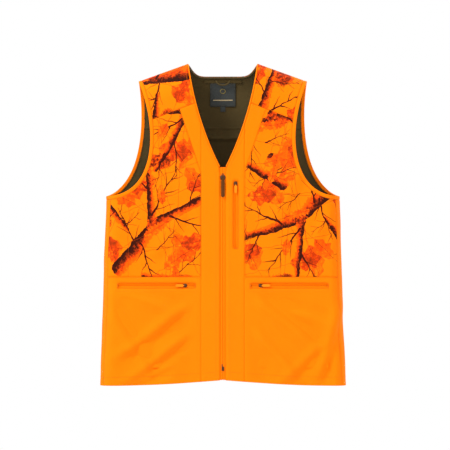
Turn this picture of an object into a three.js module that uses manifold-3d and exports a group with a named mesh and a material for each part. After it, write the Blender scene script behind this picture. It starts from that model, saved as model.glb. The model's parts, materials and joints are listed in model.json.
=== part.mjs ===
// A sleeveless hunting vest with a zip front, three zip pockets and a full lining.
//
// Millimetres. +X is the wearer's left, the front faces -Y and +Z is up. The origin lies midway
// between the tops of the two shoulder seams. Cloth is laid out in two coordinates: how far round
// the body from the centre line, and how high. Sizes called a drop are measured down from the
// origin's level.
import * as THREE from 'three';
import { mergeVertices } from 'three/addons/utils/BufferGeometryUtils.js';
import Module from 'manifold-3d';

const wasm = await Module();
wasm.setup();

// ---- driving dimensions ---------------------------------------------------------------------
// the body
const bodyLength = 751; // lowest point of the hem
const hemRise = 13; // the hem is this much higher at the zip
const chestHalf = 273; // half width under the arms
const hemHalf = chestHalf + 14; // half width at the hem
const halfDepth = 55; // from the middle to the flat front and to the flat back
const sideRound = 28; // the flats end this far short of the side edges
const shoulderRound = 70; // the flats begin this far below the shoulder seams
// the neck and the shoulders
const neckHalf = 83;
const backNeckDrop = 28;
const vDrop = 241; // bottom of the V neck
const vHalf = 9; // half width of the V's bottom
const shoulderLength = 114; // measured along X
const shoulderFall = 41; // from the neck end to the arm end
const armholeDrop = 309; // bottom of the armholes
// the seams
const yokeNeckDrop = 92;
const yokeArmDrop = 131;
const backYokeDrop = 150;
const bandHalf = 50.5; // the front bands' outer seams, and the line that each front folds on
const bandSpread = 50; // the bands' seams slant out by this much up to the yoke
const bandCornerDrop = 252; // where that slant begins
const pocketSeamDrop = 497.5;
const sideSeamTurn = 40; // degrees round the side
const hemFacing = 22;
// cloth
const shell = 2;
const lining = 1.2;
const liningDepth = halfDepth * 0.1127; // from the outer face to the lining
const layerGap = 0.4; // between layers that touch
const seamGap = 0.4; // between pieces sewn side by side
const hemGap = 1; // between the shell and the hem facings
const neckGap = 2; // between the lining and the label, where the back curves
const bindingWidth = 7;
const bindingGap = halfDepth * 0.044; // straight facets of the cloth keep clear of the binding's curve
// zips
const zipPocketDrop = 517.5; // centre line of the lower pockets' zips
const zipPocketInner = 66; // inner ends of those zips
const zipPocketMargin = 8; // their outer ends stop this far short of the rounded side
const pocketSliderIn = 17.5; // from those zips' inner ends to the sliders
const chestZipX = 30;
const chestZipStart = 34; // below the V's bottom
const chestZipLength = 154;
const mainSliderDrop = 25; // centre of the closed slider below the V's bottom
const boxRise = 22; // bottom of the retainer box above the hem
const boxLength = 9.5;
const pinLength = 5.4;
const teethNear = 0.8; // the two rows of teeth stay this far from the zip's centre line
const teethFar = 2.9;
const tapeHalf = 14;
const tape = 0.8;
const teethFront = 0.6; // from the tape's middle
const teethBack = 1.2;
const runGap = 0.3; // round the teeth inside a slider
const web = 0.9; // the wall between the slider's plates
const plate = 1.4;
const mainSlider = { half: 6, length: 12 };
const smallSlider = { half: 4, length: 9 };
const slotGap = 0.8; // between a slider and the cloth beside it
// pulls
const archHeight = 2.6; // from the slider's plate to the pull's pivot
const archRadius = 3.2;
const archHole = 1.7;
const archWidth = 2.4;
const pullBar = 1; // half height of the pull's top bar
const pullThickness = 1.8;
const pullWindow = 3.9;
const pullSideGap = 0.5;
const mainPull = { half: 4.2, length: 47 };
const smallPull = { half: 3.6, length: 23 };
// inside the neck
const labelWidth = 60;
const labelHeight = 62;
const labelDrop = 38;
const labelThickness = 0.8;
const tagSize = 12;
const neckTapeHalf = 45;
const neckTapeWidth = 9;
const loopHalf = 17.5;
const loopFall = 13;
const loopWidth = 4;

// ---- materials ------------------------------------------------------------------------------
const blaze = { color: '#ff9200', roughness: 0.85, metalness: 0 };
const print = { color: '#d9680c', roughness: 0.85, metalness: 0 };
const olive = { color: '#3a3220', roughness: 0.9, metalness: 0 };
const labelCloth = { color: '#1b262b', roughness: 0.8, metalness: 0 };
const bronze = { color: '#5a4020', roughness: 0.4, metalness: 0.8 };
const pullRubber = { color: '#5a3618', roughness: 0.6, metalness: 0 };
const orangeRubber = { color: '#ff8a08', roughness: 0.6, metalness: 0 };

// ---- the body's surface ---------------------------------------------------------------------
const sideQuarter = (Math.PI / 2) * Math.sqrt((halfDepth ** 2 + sideRound ** 2) / 2);
const shoulderSlope = shoulderFall / shoulderLength;

const between = (a, b, share) => a + (b - a) * share;
const flare = (z) => THREE.MathUtils.clamp((-z - armholeDrop) / (bodyLength - armholeDrop), 0, 1);
const flatHalf = (z) => between(chestHalf, hemHalf, flare(z)) - sideRound;
const sideEdge = (z) => flatHalf(z) + sideQuarter;
const shoulderLine = (x) => -shoulderSlope * Math.max(Math.abs(x) - neckHalf, 0);
const crown = (x) => shoulderLine(x) - shoulderRound;
const topOf = (x) => crown(x) + (shoulderRound * Math.PI) / 2;
const hemLine = (x) => {
  const share = Math.min(Math.abs(x) / (hemHalf - sideRound), 1);
  return -bodyLength + hemRise * (1 - Math.sin((share * Math.PI) / 2));
};

// a point of the front, given in the front view, in cloth coordinates
function onCloth([x, z]) {
  const past = Math.max(Math.abs(x) - flatHalf(z), 0);
  const turn = Math.asin(Math.min(past / sideRound, 1)) / (Math.PI / 2);
  const round = Math.sign(x) * (Math.abs(x) - past + sideQuarter * turn);
  const drop = Math.max(shoulderLine(x) - z, 0);
  if (drop >= shoulderRound) return [round, z];
  const lean = Math.PI / 2 - Math.acos(1 - drop / shoulderRound);
  return [round, crown(x) + shoulderRound * lean];
}

// the body's surface: side is 1 on the front and -1 on the back
function surface(side, round, high) {
  const past = Math.max(Math.abs(round) - flatHalf(high), 0);
  const turn = ((past / sideQuarter) * Math.PI) / 2;
  const x = Math.sign(round) * (Math.abs(round) - past + sideRound * Math.sin(turn));
  const lean = Math.max((high - crown(x)) / shoulderRound, 0);
  const z = lean > 0 ? crown(x) + shoulderRound * Math.sin(lean) : high;
  return new THREE.Vector3(x, -side * halfDepth * Math.cos(turn) * Math.cos(lean), z);
}

// a point that lies out from the surface, or in from it where out is negative
function offSurface(side, [round, high], out) {
  const step = 0.5;
  const along = surface(side, round + step, high).sub(surface(side, round - step, high));
  const up = surface(side, round, high + step).sub(surface(side, round, high - step));
  const normal = along.cross(up).normalize().multiplyScalar(side);
  return surface(side, round, high).addScaledVector(normal, out);
}

// ---- curves: functions of a share from 0 to 1 -------------------------------------------------
const line = (a, b) => (t) => [between(a[0], b[0], t), between(a[1], b[1], t)];
const part = (curve, from, to) => (t) => curve(between(from, to, t));

function bend(a, b, c, d) {
  const flat = (p) => new THREE.Vector2(...p);
  const curve = new THREE.CubicBezierCurve(flat(a), flat(b), flat(c), flat(d));
  return (t) => curve.getPoint(t).toArray();
}

function chain(...curves) {
  return (t) => {
    const which = Math.min(Math.floor(t * curves.length), curves.length - 1);
    return curves[which](t * curves.length - which);
  };
}

// where a curve that runs one way reaches a value
function shareAt(curve, axis, value) {
  const falling = curve(1)[axis] < curve(0)[axis];
  let low = 0;
  let high = 1;
  for (let i = 0; i < 40; i += 1) {
    const middle = (low + high) / 2;
    if (curve(middle)[axis] > value === falling) low = middle;
    else high = middle;
  }
  return low;
}

// the same curve, with its height falling evenly
const evenFall = (curve) => (t) =>
  curve(shareAt(curve, 1, between(curve(0)[1], curve(1)[1], t)));

// a curve moved into the cloth, which lies to its right
function inset(curve, distance) {
  return (t) => {
    const step = 1e-3;
    const [x0, z0] = curve(Math.max(t - step, 0));
    const [x1, z1] = curve(Math.min(t + step, 1));
    const length = Math.hypot(x1 - x0, z1 - z0);
    const [x, z] = curve(t);
    const moved = [x + ((z1 - z0) / length) * distance, z - ((x1 - x0) / length) * distance];
    return [moved[0], Math.min(moved[1], topOf(moved[0]))];
  };
}

// a smooth sheet between four curves: top and bottom run outward, inner and outer run down
function sheetBetween(top, bottom, inner, outer) {
  return (s, t) =>
    [0, 1].map((k) => {
      const across = between(inner(t)[k], outer(t)[k], s);
      const down = between(top(s)[k], bottom(s)[k], t);
      const near = between(top(0)[k], bottom(0)[k], t);
      const far = between(top(1)[k], bottom(1)[k], t);
      return across + down - between(near, far, s);
    });
}

// ---- solids ---------------------------------------------------------------------------------
function facingOut(geometry) {
  const merged = mergeVertices(geometry.deleteAttribute('normal').deleteAttribute('uv'));
  const at = (i) => new THREE.Vector3().fromBufferAttribute(merged.attributes.position, i);
  const index = merged.index.array;
  let volume = 0;
  for (let i = 0; i < index.length; i += 3) {
    volume += at(index[i]).dot(at(index[i + 1]).cross(at(index[i + 2])));
  }
  if (volume < 0) index.reverse();
  merged.computeVertexNormals();
  return merged;
}

function toSolid(geometry) {
  const closed = facingOut(geometry);
  const vertProperties = closed.attributes.position.array;
  const triVerts = new Uint32Array(closed.index.array);
  return new wasm.Manifold(new wasm.Mesh({ numProp: 3, vertProperties, triVerts }));
}

function toGeometry(solid) {
  const { vertProperties, triVerts } = solid.getMesh();
  const geometry = new THREE.BufferGeometry();
  geometry.setAttribute('position', new THREE.BufferAttribute(vertProperties, 3));
  geometry.setIndex(new THREE.BufferAttribute(triVerts, 1));
  return geometry;
}

const bar = ([x0, x1], [y0, y1], [z0, z1]) =>
  new THREE.BoxGeometry(x1 - x0, y1 - y0, z1 - z0).translate(
    (x0 + x1) / 2,
    (y0 + y1) / 2,
    (z0 + z1) / 2,
  );

// how columns are spread: evenly, or closer together where the cloth turns round the sides
const evenly = (share) => share;
const closeOutside = (share) => Math.sin((share * Math.PI) / 2);
const closeBothSides = (share) => (1 - Math.cos(share * Math.PI)) / 2;
// enough columns that neighbouring layers' flat facets stay clear round the sides
const frontColumns = Math.ceil((chestHalf + halfDepth) / 41);
const backColumns = Math.ceil((chestHalf + halfDepth) / 24);

// a grid of cloth points whose edges are drawn in by half of the gap that a seam keeps
function gridOf(sheet, columns, rows, spread) {
  const grid = Array.from({ length: columns + 1 }, (_, i) =>
    Array.from({ length: rows + 1 }, (__, j) => sheet(spread(i / columns), j / rows)),
  );
  const draw = (from, to) => {
    const length = Math.hypot(to[0] - from[0], to[1] - from[1]);
    const share = seamGap / 2 / length;
    return [between(from[0], to[0], share), between(from[1], to[1], share)];
  };
  for (const column of grid) {
    column[0] = draw(column[0], column[1]);
    column[rows] = draw(column[rows], column[rows - 1]);
  }
  for (let j = 0; j <= rows; j += 1) {
    grid[0][j] = draw(grid[0][j], grid[1][j]);
    grid[columns][j] = draw(grid[columns][j], grid[columns - 1][j]);
  }
  return grid;
}

// quads between the two faces of a slab, or round a ring, each split along its shorter diagonal
function surfaceFrom(points, quads) {
  const geometry = new THREE.BufferGeometry().setFromPoints(points);
  const split = ([a, b, c, d]) => {
    const first = points[a].distanceTo(points[c]) <= points[b].distanceTo(points[d]);
    return first ? [a, b, c, a, c, d] : [b, c, d, b, d, a];
  };
  geometry.setIndex(quads.flatMap(split));
  return geometry;
}

// a slab of cloth from depth outer to depth inner under the body's surface
function slab(side, sheet, [columns, rows, spread = evenly], outer, inner) {
  const grid = gridOf(sheet, columns, rows, spread);
  const points = [outer, inner].flatMap((depth) => grid.flat().map((p) => offSurface(side, p, -depth)));
  const count = (columns + 1) * (rows + 1);
  const at = (i, j) => i * (rows + 1) + j;
  const quads = [];
  for (let i = 0; i < columns; i += 1) {
    for (let j = 0; j < rows; j += 1) {
      const face = [at(i, j), at(i + 1, j), at(i + 1, j + 1), at(i, j + 1)];
      quads.push(face, face.map((v) => v + count).reverse());
    }
  }
  const rim = (a, b) => quads.push([b, a, a + count, b + count]);
  for (let i = 0; i < columns; i += 1) {
    rim(at(i, 0), at(i + 1, 0));
    rim(at(i + 1, rows), at(i, rows));
  }
  for (let j = 0; j < rows; j += 1) {
    rim(at(columns, j), at(columns, j + 1));
    rim(at(0, j + 1), at(0, j));
  }
  return facingOut(surfaceFrom(points, quads));
}

const mirrored = (geometry) => facingOut(geometry.clone().scale(-1, 1, 1));

const vest = new THREE.Group();

function add(name, geometry, look, parent = vest) {
  const mesh = new THREE.Mesh(geometry, new THREE.MeshStandardMaterial(look));
  mesh.name = name;
  parent.add(mesh);
  return mesh;
}

// a piece that the other side of the vest has too
function addPair(name, geometry, look) {
  add(`left_${name}`, geometry, look);
  add(`right_${name}`, mirrored(geometry), look);
}

// ---- edges of the pattern pieces, on the wearer's left ----------------------------------------
const shoulderEnd = neckHalf + shoulderLength;
const neckFront = bend(
  [neckHalf, 0],
  [neckHalf * 0.86, -vDrop * 0.35],
  [vHalf + (neckHalf - vHalf) * 0.51, -vDrop * 0.69],
  [vHalf, -vDrop],
);
const neckFold = shareAt(neckFront, 0, bandHalf);
const neckYoke = shareAt(neckFront, 1, -yokeNeckDrop);
const neckPart = (from, to) => (t) => onCloth(neckFront(between(from, to, t)));
const armFall = armholeDrop - shoulderFall;
const armReach = chestHalf - shoulderEnd;
const armCurve = (inTop, inLow, downTop, downLow) => {
  const curve = bend(
    [shoulderEnd, -shoulderFall],
    [shoulderEnd - inTop, -shoulderFall - armFall * downTop],
    [shoulderEnd - inLow, -shoulderFall - armFall * downLow],
    [shoulderEnd + armReach, -armholeDrop],
  );
  return (t) => onCloth(curve(t));
};
const armFront = armCurve(47, 42, 0.407, 0.996);
const armBack = armCurve(17, -3, 0.463, 0.9);
const armSeamFront = inset(armFront, bindingWidth);
const armSeamBack = inset(armBack, bindingWidth);
const sideSeam = (z) => flatHalf(z) + (sideQuarter * sideSeamTurn) / 90;
const sideSeamTop = -armholeDrop - bindingWidth;
const armSide = shareAt(armSeamFront, 0, sideSeam(sideSeamTop));
const armSideBack = shareAt(armSeamBack, 0, sideSeam(sideSeamTop));
const armYoke = shareAt(armSeamFront, 1, -yokeArmDrop);
const armBackYoke = shareAt(armSeamBack, 1, -backYokeDrop);
const yokeStart = neckPart(neckYoke, neckYoke)(0);
const yokeEnd = armSeamFront(armYoke);
const bandTopShare = (bandHalf + bandSpread - yokeStart[0]) / (yokeEnd[0] - yokeStart[0]);
const yokeSeam = line(yokeStart, yokeEnd);
const bandTop = yokeSeam(bandTopShare);
const bandCorner = [bandHalf, -bandCornerDrop];
const downSide = (z0, z1) => (t) => {
  const z = between(z0, z1, t);
  return [sideSeam(z), z];
};
const hemBetween = (x0, x1) => (t) => {
  const round = between(x0, x1, t);
  return [round, hemLine(round)];
};
const sideHem = hemLine(hemHalf);

// ---- outer shell ----------------------------------------------------------------------------
function makeYokes() {
  const shoulder = line([neckHalf, topOf(neckHalf)], armSeamFront(0));
  const neck = neckPart(0, neckYoke);
  const arm = evenFall(part(armSeamFront, 0, armYoke));
  const sheet = sheetBetween(shoulder, yokeSeam, neck, arm);
  addPair('yoke', slab(1, sheet, [5, 7], 0, shell), print);
}

function makeChestPanels() {
  const middle = [bandHalf, -(bandCornerDrop + pocketSeamDrop) / 2];
  const end = [bandHalf, -pocketSeamDrop];
  const inner = chain(line(bandTop, bandCorner), line(bandCorner, middle), line(middle, end));
  const start = armSeamFront(armSide);
  const armMiddle = (armYoke + armSide) / 2;
  const arm = [part(armSeamFront, armYoke, armMiddle), part(armSeamFront, armMiddle, armSide)];
  const outer = chain(...arm, downSide(start[1], end[1]));
  const top = part(yokeSeam, bandTopShare, 1);
  const bottom = line([bandHalf, -pocketSeamDrop], [sideSeam(-pocketSeamDrop), -pocketSeamDrop]);
  const sheet = sheetBetween(top, bottom, inner, outer);
  addPair('chest_panel', slab(1, sheet, [frontColumns, 15, closeOutside], 0, shell), print);
}

function makeNeckBands() {
  const foldTop = neckPart(neckFold, neckFold)(0);
  const foldEnd = [bandHalf, -bandCornerDrop + 4];
  const inner = chain(neckPart(neckYoke, neckFold), line(foldTop, foldEnd));
  const outer = line(bandTop, [bandHalf + 1.4, foldEnd[1]]);
  const bottom = line(foldEnd, outer(1));
  const sheet = sheetBetween(part(yokeSeam, 0, bandTopShare), bottom, inner, outer);
  addPair('neck_band', slab(1, sheet, [2, 6], 0, shell), blaze);
}

// the part of a front that swings out with the zip, from one depth to another
function frontLeaf(outer, inner) {
  const start = slotHalf(mainSlider);
  const startShare = shareAt(neckFront, 0, start);
  const top = neckPart(Math.min(startShare, 1), neckFold);
  const near = line([Math.max(start, vHalf), top(0)[1]], [start, hemLine(start)]);
  const far = line(top(1), [bandHalf, hemLine(bandHalf)]);
  const bottom = line(near(1), far(1));
  return slab(1, sheetBetween(top, bottom, near, far), [4, 8], outer, inner);
}

function makePlackets() {
  const leaf = frontLeaf(0, shell);
  const top = -vDrop - chestZipStart;
  const slot = slotIn(smallSlider, chestZipLength).translate(chestZipX, 0, top);
  add('left_placket', toGeometry(toSolid(leaf).subtract(toSolid(slot))), blaze);
  add('right_placket', mirrored(leaf), blaze);
}

function makePocketFronts() {
  const z = -pocketSeamDrop;
  const top = line([bandHalf, z], [sideSeam(z), z]);
  const inner = line([bandHalf, z], [bandHalf, hemLine(bandHalf)]);
  const outer = downSide(z, sideHem);
  const bottom = hemBetween(bandHalf, sideSeam(sideHem));
  const front = slab(1, sheetBetween(top, bottom, inner, outer), [frontColumns, 6, closeOutside], 0, shell);
  const slot = slotIn(smallSlider, pocketZipLength).rotateY(-Math.PI / 2);
  slot.translate(zipPocketInner, 0, -zipPocketDrop);
  addPair('pocket_front', toGeometry(toSolid(front).subtract(toSolid(slot))), blaze);
}

function makeSidePanels() {
  const behind = (curve) => (t) => {
    const [round, high] = curve(t);
    return [2 * sideEdge(high) - round, high];
  };
  const front = part(armSeamFront, armSide, 1);
  const back = behind(part(armSeamBack, 1, armSideBack));
  const inner = downSide(armSeamFront(armSide)[1], sideHem);
  const outer = behind(downSide(armSeamBack(armSideBack)[1], sideHem));
  const bottom = line([sideSeam(sideHem), sideHem], outer(1));
  const sheet = sheetBetween(chain(front, back), bottom, inner, outer);
  addPair('side_panel', slab(1, sheet, [8, 6], 0, shell), blaze);
}

const otherSide = (curve) => (t) => {
  const [round, high] = curve(t);
  return [-round, high];
};
const backward = (curve) => (t) => curve(1 - t);

// across the top of the back: right shoulder, neck, left shoulder
function backTop(arm) {
  const high = topOf(neckHalf);
  const low = onCloth([0, -backNeckDrop])[1];
  const level = neckHalf * 0.4;
  const middle = line([-level, low], [level, low]);
  const corner = bend([level, low], [neckHalf * 0.7, low], [neckHalf * 0.85, low], [neckHalf, high]);
  const shoulder = line([neckHalf, high], arm(0));
  const right = [shoulder, corner].map((curve) => otherSide(backward(curve)));
  return chain(...right, middle, corner, shoulder);
}

function makeBack() {
  const yokeOuter = evenFall(part(armSeamBack, 0, armBackYoke));
  const seam = line(otherSide(yokeOuter)(1), yokeOuter(1));
  const yoke = sheetBetween(backTop(armSeamBack), seam, otherSide(yokeOuter), yokeOuter);
  add('back_yoke', slab(-1, yoke, [20, 7], 0, shell), print);
  const start = armSeamBack(armSideBack);
  const outer = chain(part(armSeamBack, armBackYoke, armSideBack), downSide(start[1], sideHem));
  const hem = hemBetween(-sideSeam(sideHem), sideSeam(sideHem));
  const panel = sheetBetween(seam, hem, otherSide(outer), outer);
  add('back_panel', slab(-1, panel, [backColumns, 12, closeBothSides], 0, shell), blaze);
}

// ---- bindings, facings and lining -------------------------------------------------------------
function makeArmholeBindings() {
  const steps = 14;
  const stations = [];
  const station = (side, arm, t) => {
    const edges = [arm(t), inset(arm, bindingWidth - bindingGap)(t)];
    const depths = [0, liningDepth + lining];
    const [a, b] = edges.map((edge) => depths.map((depth) => offSurface(side, edge, -depth)));
    stations.push([a[0], b[0], b[1], a[1]]);
  };
  for (let i = 0; i <= steps; i += 1) station(1, armFront, i / steps);
  for (let i = steps - 1; i > 0; i -= 1) station(-1, armBack, i / steps);
  const quads = [];
  stations.forEach((_, i) => {
    const next = ((i + 1) % stations.length) * 4;
    for (let k = 0; k < 4; k += 1) {
      const m = (k + 1) % 4;
      quads.push([i * 4 + k, i * 4 + m, next + m, next + k]);
    }
  });
  addPair('armhole_binding', facingOut(surfaceFrom(stations.flat(), quads)), blaze);
}

function makeFacings() {
  addPair('facing', frontLeaf(liningDepth, liningDepth + lining), blaze);
  const layers = [shell + hemGap, shell + hemGap + lining];
  const strip = (x0, x1) => {
    const bottom = hemBetween(x0, x1);
    const top = (t) => [bottom(t)[0], bottom(t)[1] + hemFacing];
    return sheetBetween(top, bottom, line(top(0), bottom(0)), line(top(1), bottom(1)));
  };
  const edge = sideSeam(sideHem);
  const front = slab(1, strip(bandHalf, edge), [frontColumns, 1, closeOutside], ...layers);
  addPair('hem_facing', front, blaze);
  const back = slab(-1, strip(-edge, edge), [backColumns, 1, closeBothSides], ...layers);
  add('back_hem_facing', back, blaze);
}

function makeLinings() {
  const layers = [liningDepth, liningDepth + lining];
  const lowest = sideHem + hemFacing;
  const downEdge = (z0) => (t) => {
    const z = between(z0, lowest, t);
    return [sideEdge(z), z];
  };
  const foldTop = neckPart(neckFold, neckFold)(0);
  const middle = [bandHalf, (foldTop[1] + lowest) / 2];
  const down = [line(foldTop, middle), line(middle, [bandHalf, lowest])];
  const inner = chain(neckPart(0, neckFold), ...down);
  const arm = [part(armSeamFront, 0, 0.5), part(armSeamFront, 0.5, 1)];
  const outer = chain(...arm, downEdge(arm[1](1)[1]));
  const shoulder = line([neckHalf, topOf(neckHalf)], armSeamFront(0));
  const bottom = line([bandHalf, lowest], outer(1));
  const front = sheetBetween(shoulder, bottom, inner, outer);
  addPair('front_lining', slab(1, front, [frontColumns, 21, closeOutside], ...layers), olive);

  const yokeOuter = evenFall(part(armSeamBack, 0, armBackYoke));
  const seam = line(otherSide(yokeOuter)(1), yokeOuter(1));
  const yoke = sheetBetween(backTop(armSeamBack), seam, otherSide(yokeOuter), yokeOuter);
  add('back_lining_yoke', slab(-1, yoke, [20, 7], ...layers), olive);
  const side = chain(part(armSeamBack, armBackYoke, 1), downEdge(armSeamBack(1)[1]));
  const body = sheetBetween(seam, line(otherSide(side)(1), side(1)), otherSide(side), side);
  add('back_lining', slab(-1, body, [backColumns, 12, closeBothSides], ...layers), olive);
}

// ---- zips: local Z runs along the teeth, local -Y faces out -------------------------------------
const zipMiddle = -halfDepth + shell + layerGap + tape / 2;
const slotHalf = (slider) => slider.half + slotGap;
const slotIn = (slider, length) => {
  const half = slotHalf(slider);
  return bar([-half, half], [-halfDepth - shell, -halfDepth + 2 * shell], [-length, 0]);
};
const pocketZipLength = flatHalf(-zipPocketDrop) - zipPocketMargin - zipPocketInner;

function stringer(length) {
  const half = tape / 2;
  const outline = [
    [teethNear, -teethFront],
    [teethFar, -teethFront],
    [teethFar, -half],
    [tapeHalf - slotGap, -half],
    [tapeHalf - slotGap, half],
    [teethFar, half],
    [teethFar, teethBack],
    [teethNear, teethBack],
  ];
  const shape = new THREE.Shape(outline.map((p) => new THREE.Vector2(...p)));
  const settings = { depth: length, bevelEnabled: false };
  return new THREE.ExtrudeGeometry(shape, settings).translate(0, 0, -length);
}

// one closed body: two plates on a thin wall, with an arch that holds the pull
function sliderSolid({ half, length }) {
  const front = -teethFront - runGap;
  const back = teethBack + runGap;
  const span = [-length / 2, length / 2];
  const faces = bar([-half, half], [front - plate, front], span);
  const rear = bar([-half, half], [back, back + plate], span);
  const wall = bar([-web / 2, web / 2], [front - plate / 2, back + plate / 2], span);
  const sunk = plate / 2;
  const shape = new THREE.Shape();
  shape.moveTo(-archRadius, -sunk);
  shape.lineTo(archRadius, -sunk);
  shape.lineTo(archRadius, archHeight);
  shape.absarc(0, archHeight, archRadius, 0, Math.PI, false);
  shape.closePath();
  shape.holes.push(new THREE.Path().absarc(0, archHeight, archHole, 0, 2 * Math.PI, true));
  const settings = { depth: archWidth, bevelEnabled: false, curveSegments: 10 };
  const arch = new THREE.ExtrudeGeometry(shape, settings).translate(0, 0, -archWidth / 2);
  const turned = new THREE.Matrix4().makeBasis(
    new THREE.Vector3(0, 0, 1),
    new THREE.Vector3(0, -1, 0),
    new THREE.Vector3(1, 0, 0),
  );
  arch.applyMatrix4(turned).translate(0, front - plate, 0);
  return toGeometry([faces, rear, wall, arch].map(toSolid).reduce((a, b) => a.add(b)));
}

// hangs down local Z from its pivot, with a window for the arch
function pullSolid({ half, length }) {
  const shape = new THREE.Shape();
  shape.moveTo(-half, pullBar);
  shape.lineTo(-half, half - length);
  shape.absarc(0, half - length, half, Math.PI, 2 * Math.PI, false);
  shape.lineTo(half, pullBar);
  shape.closePath();
  const side = archWidth / 2 + pullSideGap;
  const window = new THREE.Path();
  window.moveTo(-side, -pullBar);
  window.lineTo(side, -pullBar);
  window.lineTo(side, -pullWindow);
  window.lineTo(-side, -pullWindow);
  window.closePath();
  shape.holes.push(window);
  const settings = { depth: pullThickness, bevelEnabled: false, curveSegments: 8 };
  const pull = new THREE.ExtrudeGeometry(shape, settings).rotateX(Math.PI / 2);
  return pull.translate(0, pullThickness / 2, 0);
}

// a slider and its pull, centred on a place of the zip's centre line
function placeSlider(name, size, pull, place, spin) {
  const zip = new THREE.Group();
  zip.position.set(...place);
  zip.rotation.y = spin;
  vest.add(zip);
  add(`${name}_slider`, sliderSolid(size), bronze, zip);
  const look = pull === mainPull ? pullRubber : orangeRubber;
  const hung = add(`${name}_pull`, pullSolid(pull), look, zip);
  hung.position.y = -teethFront - runGap - plate - archHeight;
}

function makeMainZip() {
  const top = -vDrop - mainSliderDrop + mainSlider.length / 2;
  const boxBottom = hemLine(0) + boxRise;
  const boxTop = boxBottom + boxLength;
  const pinTop = boxTop + seamGap + pinLength;
  const lowest = pinTop + seamGap + mainSlider.length;
  const teethTop = top - mainSlider.length - seamGap;
  const teeth = bar(
    [teethNear, teethFar],
    [-teethFront, teethBack],
    [lowest + seamGap, teethTop],
  ).translate(0, zipMiddle, 0);
  addPair('zip_teeth', teeth, blaze);
  const tapeTop = -vDrop - seamGap;
  const tapeEnd = hemLine(0) + seamGap;
  const tapeSide = [teethFar + seamGap, tapeHalf];
  const strip = bar(tapeSide, [-tape / 2, tape / 2], [tapeEnd, tapeTop]).translate(0, zipMiddle, 0);
  addPair('zip_tape', strip, blaze);
  const stop = bar([teethNear, teethFar], [-teethFront, teethBack], [top + seamGap, top + 4]);
  addPair('top_stop', stop.translate(0, zipMiddle, 0), bronze);
  const box = bar([-teethFar, teethFar], [-2, 2], [boxBottom, boxTop]).translate(0, zipMiddle, 0);
  add('retainer_box', box, bronze);
  const pin = bar([-teethFar, -teethNear], [-0.6, 0.6], [boxTop + seamGap, pinTop]);
  add('insertion_pin', pin.translate(0, zipMiddle, 0), bronze);
  placeSlider('main', mainSlider, mainPull, [0, zipMiddle, top - mainSlider.length / 2], 0);
}

function makeChestPocket() {
  const top = -vDrop - chestZipStart;
  const half = stringer(chestZipLength);
  add('chest_zip_outer', half.clone().translate(chestZipX, zipMiddle, top), blaze);
  add('chest_zip_inner', mirrored(half).translate(chestZipX, zipMiddle, top), blaze);
  const middle = top - smallSlider.length / 2 - seamGap;
  placeSlider('chest', smallSlider, smallPull, [chestZipX, zipMiddle, middle], 0);
  const depth = -halfDepth + shell + layerGap;
  const bag = bar([bandHalf + 4, bandHalf + 100], [depth, depth + lining], [-chestZipLength - 20, 0]);
  add('chest_pocket_bag', bag.translate(0, 0, top), blaze);
}

function makeLowerPockets() {
  const depth = -halfDepth + shell + layerGap;
  const half = stringer(pocketZipLength).rotateY(-Math.PI / 2);
  half.translate(zipPocketInner, zipMiddle, -zipPocketDrop);
  addPair('pocket_zip_upper', half, blaze);
  const low = half.clone().translate(0, 0, zipPocketDrop).scale(1, 1, -1);
  addPair('pocket_zip_lower', facingOut(low.translate(0, 0, -zipPocketDrop)), blaze);
  const bagTop = -zipPocketDrop - tapeHalf - layerGap;
  const bagSide = [bandHalf + 6, flatHalf(bagTop) - 6];
  const bag = bar(bagSide, [depth, depth + lining], [sideHem + hemFacing + 20, bagTop]);
  addPair('pocket_bag', bag, blaze);
  const start = zipPocketInner + pocketSliderIn + smallSlider.length / 2;
  for (const [name, sign] of [['left', 1], ['right', -1]]) {
    const place = [sign * start, zipMiddle, -zipPocketDrop];
    placeSlider(`${name}_pocket`, smallSlider, smallPull, place, (-sign * Math.PI) / 2);
  }
}

// ---- inside the neck --------------------------------------------------------------------------
function makeNeckPieces() {
  const inside = liningDepth + lining + neckGap;
  const top = onCloth([0, -backNeckDrop])[1];
  const strip = (half, from, height) => {
    const to = from - height;
    const sides = [-half, half].map((x) => line([x, from], [x, to]));
    return sheetBetween(line([-half, from], [half, from]), line([-half, to], [half, to]), ...sides);
  };
  const tapeSheet = strip(neckTapeHalf, top - 1, neckTapeWidth);
  add('neck_tape', slab(-1, tapeSheet, [8, 1], inside, inside + lining), olive);
  const labelTop = Math.min(onCloth([0, -labelDrop])[1], top - neckTapeWidth - 2);
  const label = strip(labelWidth / 2, labelTop, labelHeight);
  add('neck_label', slab(-1, label, [4, 6], inside, inside + labelThickness), labelCloth);
  const tag = strip(tagSize / 2, labelTop - labelHeight, tagSize);
  add('size_tag', slab(-1, tag, [1, 2], inside, inside + labelThickness), labelCloth);

  const shape = new THREE.Shape();
  const thin = 1;
  shape.moveTo(-loopHalf, 0);
  shape.absellipse(0, 0, loopHalf, loopFall, Math.PI, 2 * Math.PI, false);
  shape.lineTo(loopHalf - loopWidth, 0);
  shape.absellipse(0, 0, loopHalf - loopWidth, loopFall - loopWidth, 2 * Math.PI, Math.PI, true);
  shape.closePath();
  const settings = { depth: thin, bevelEnabled: false, curveSegments: 10 };
  const loop = new THREE.ExtrudeGeometry(shape, settings).rotateX(Math.PI / 2);
  const hung = add('hanger_loop', facingOut(loop), olive);
  const pivot = offSurface(-1, [0, top - neckTapeWidth / 2], -inside - lining - layerGap - 1);
  hung.position.copy(pivot);
}

makeYokes();
makeChestPanels();
makeNeckBands();
makePlackets();
makePocketFronts();
makeSidePanels();
makeBack();
makeArmholeBindings();
makeFacings();
makeLinings();
makeMainZip();
makeChestPocket();
makeLowerPockets();
makeNeckPieces();

export default vest;
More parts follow.
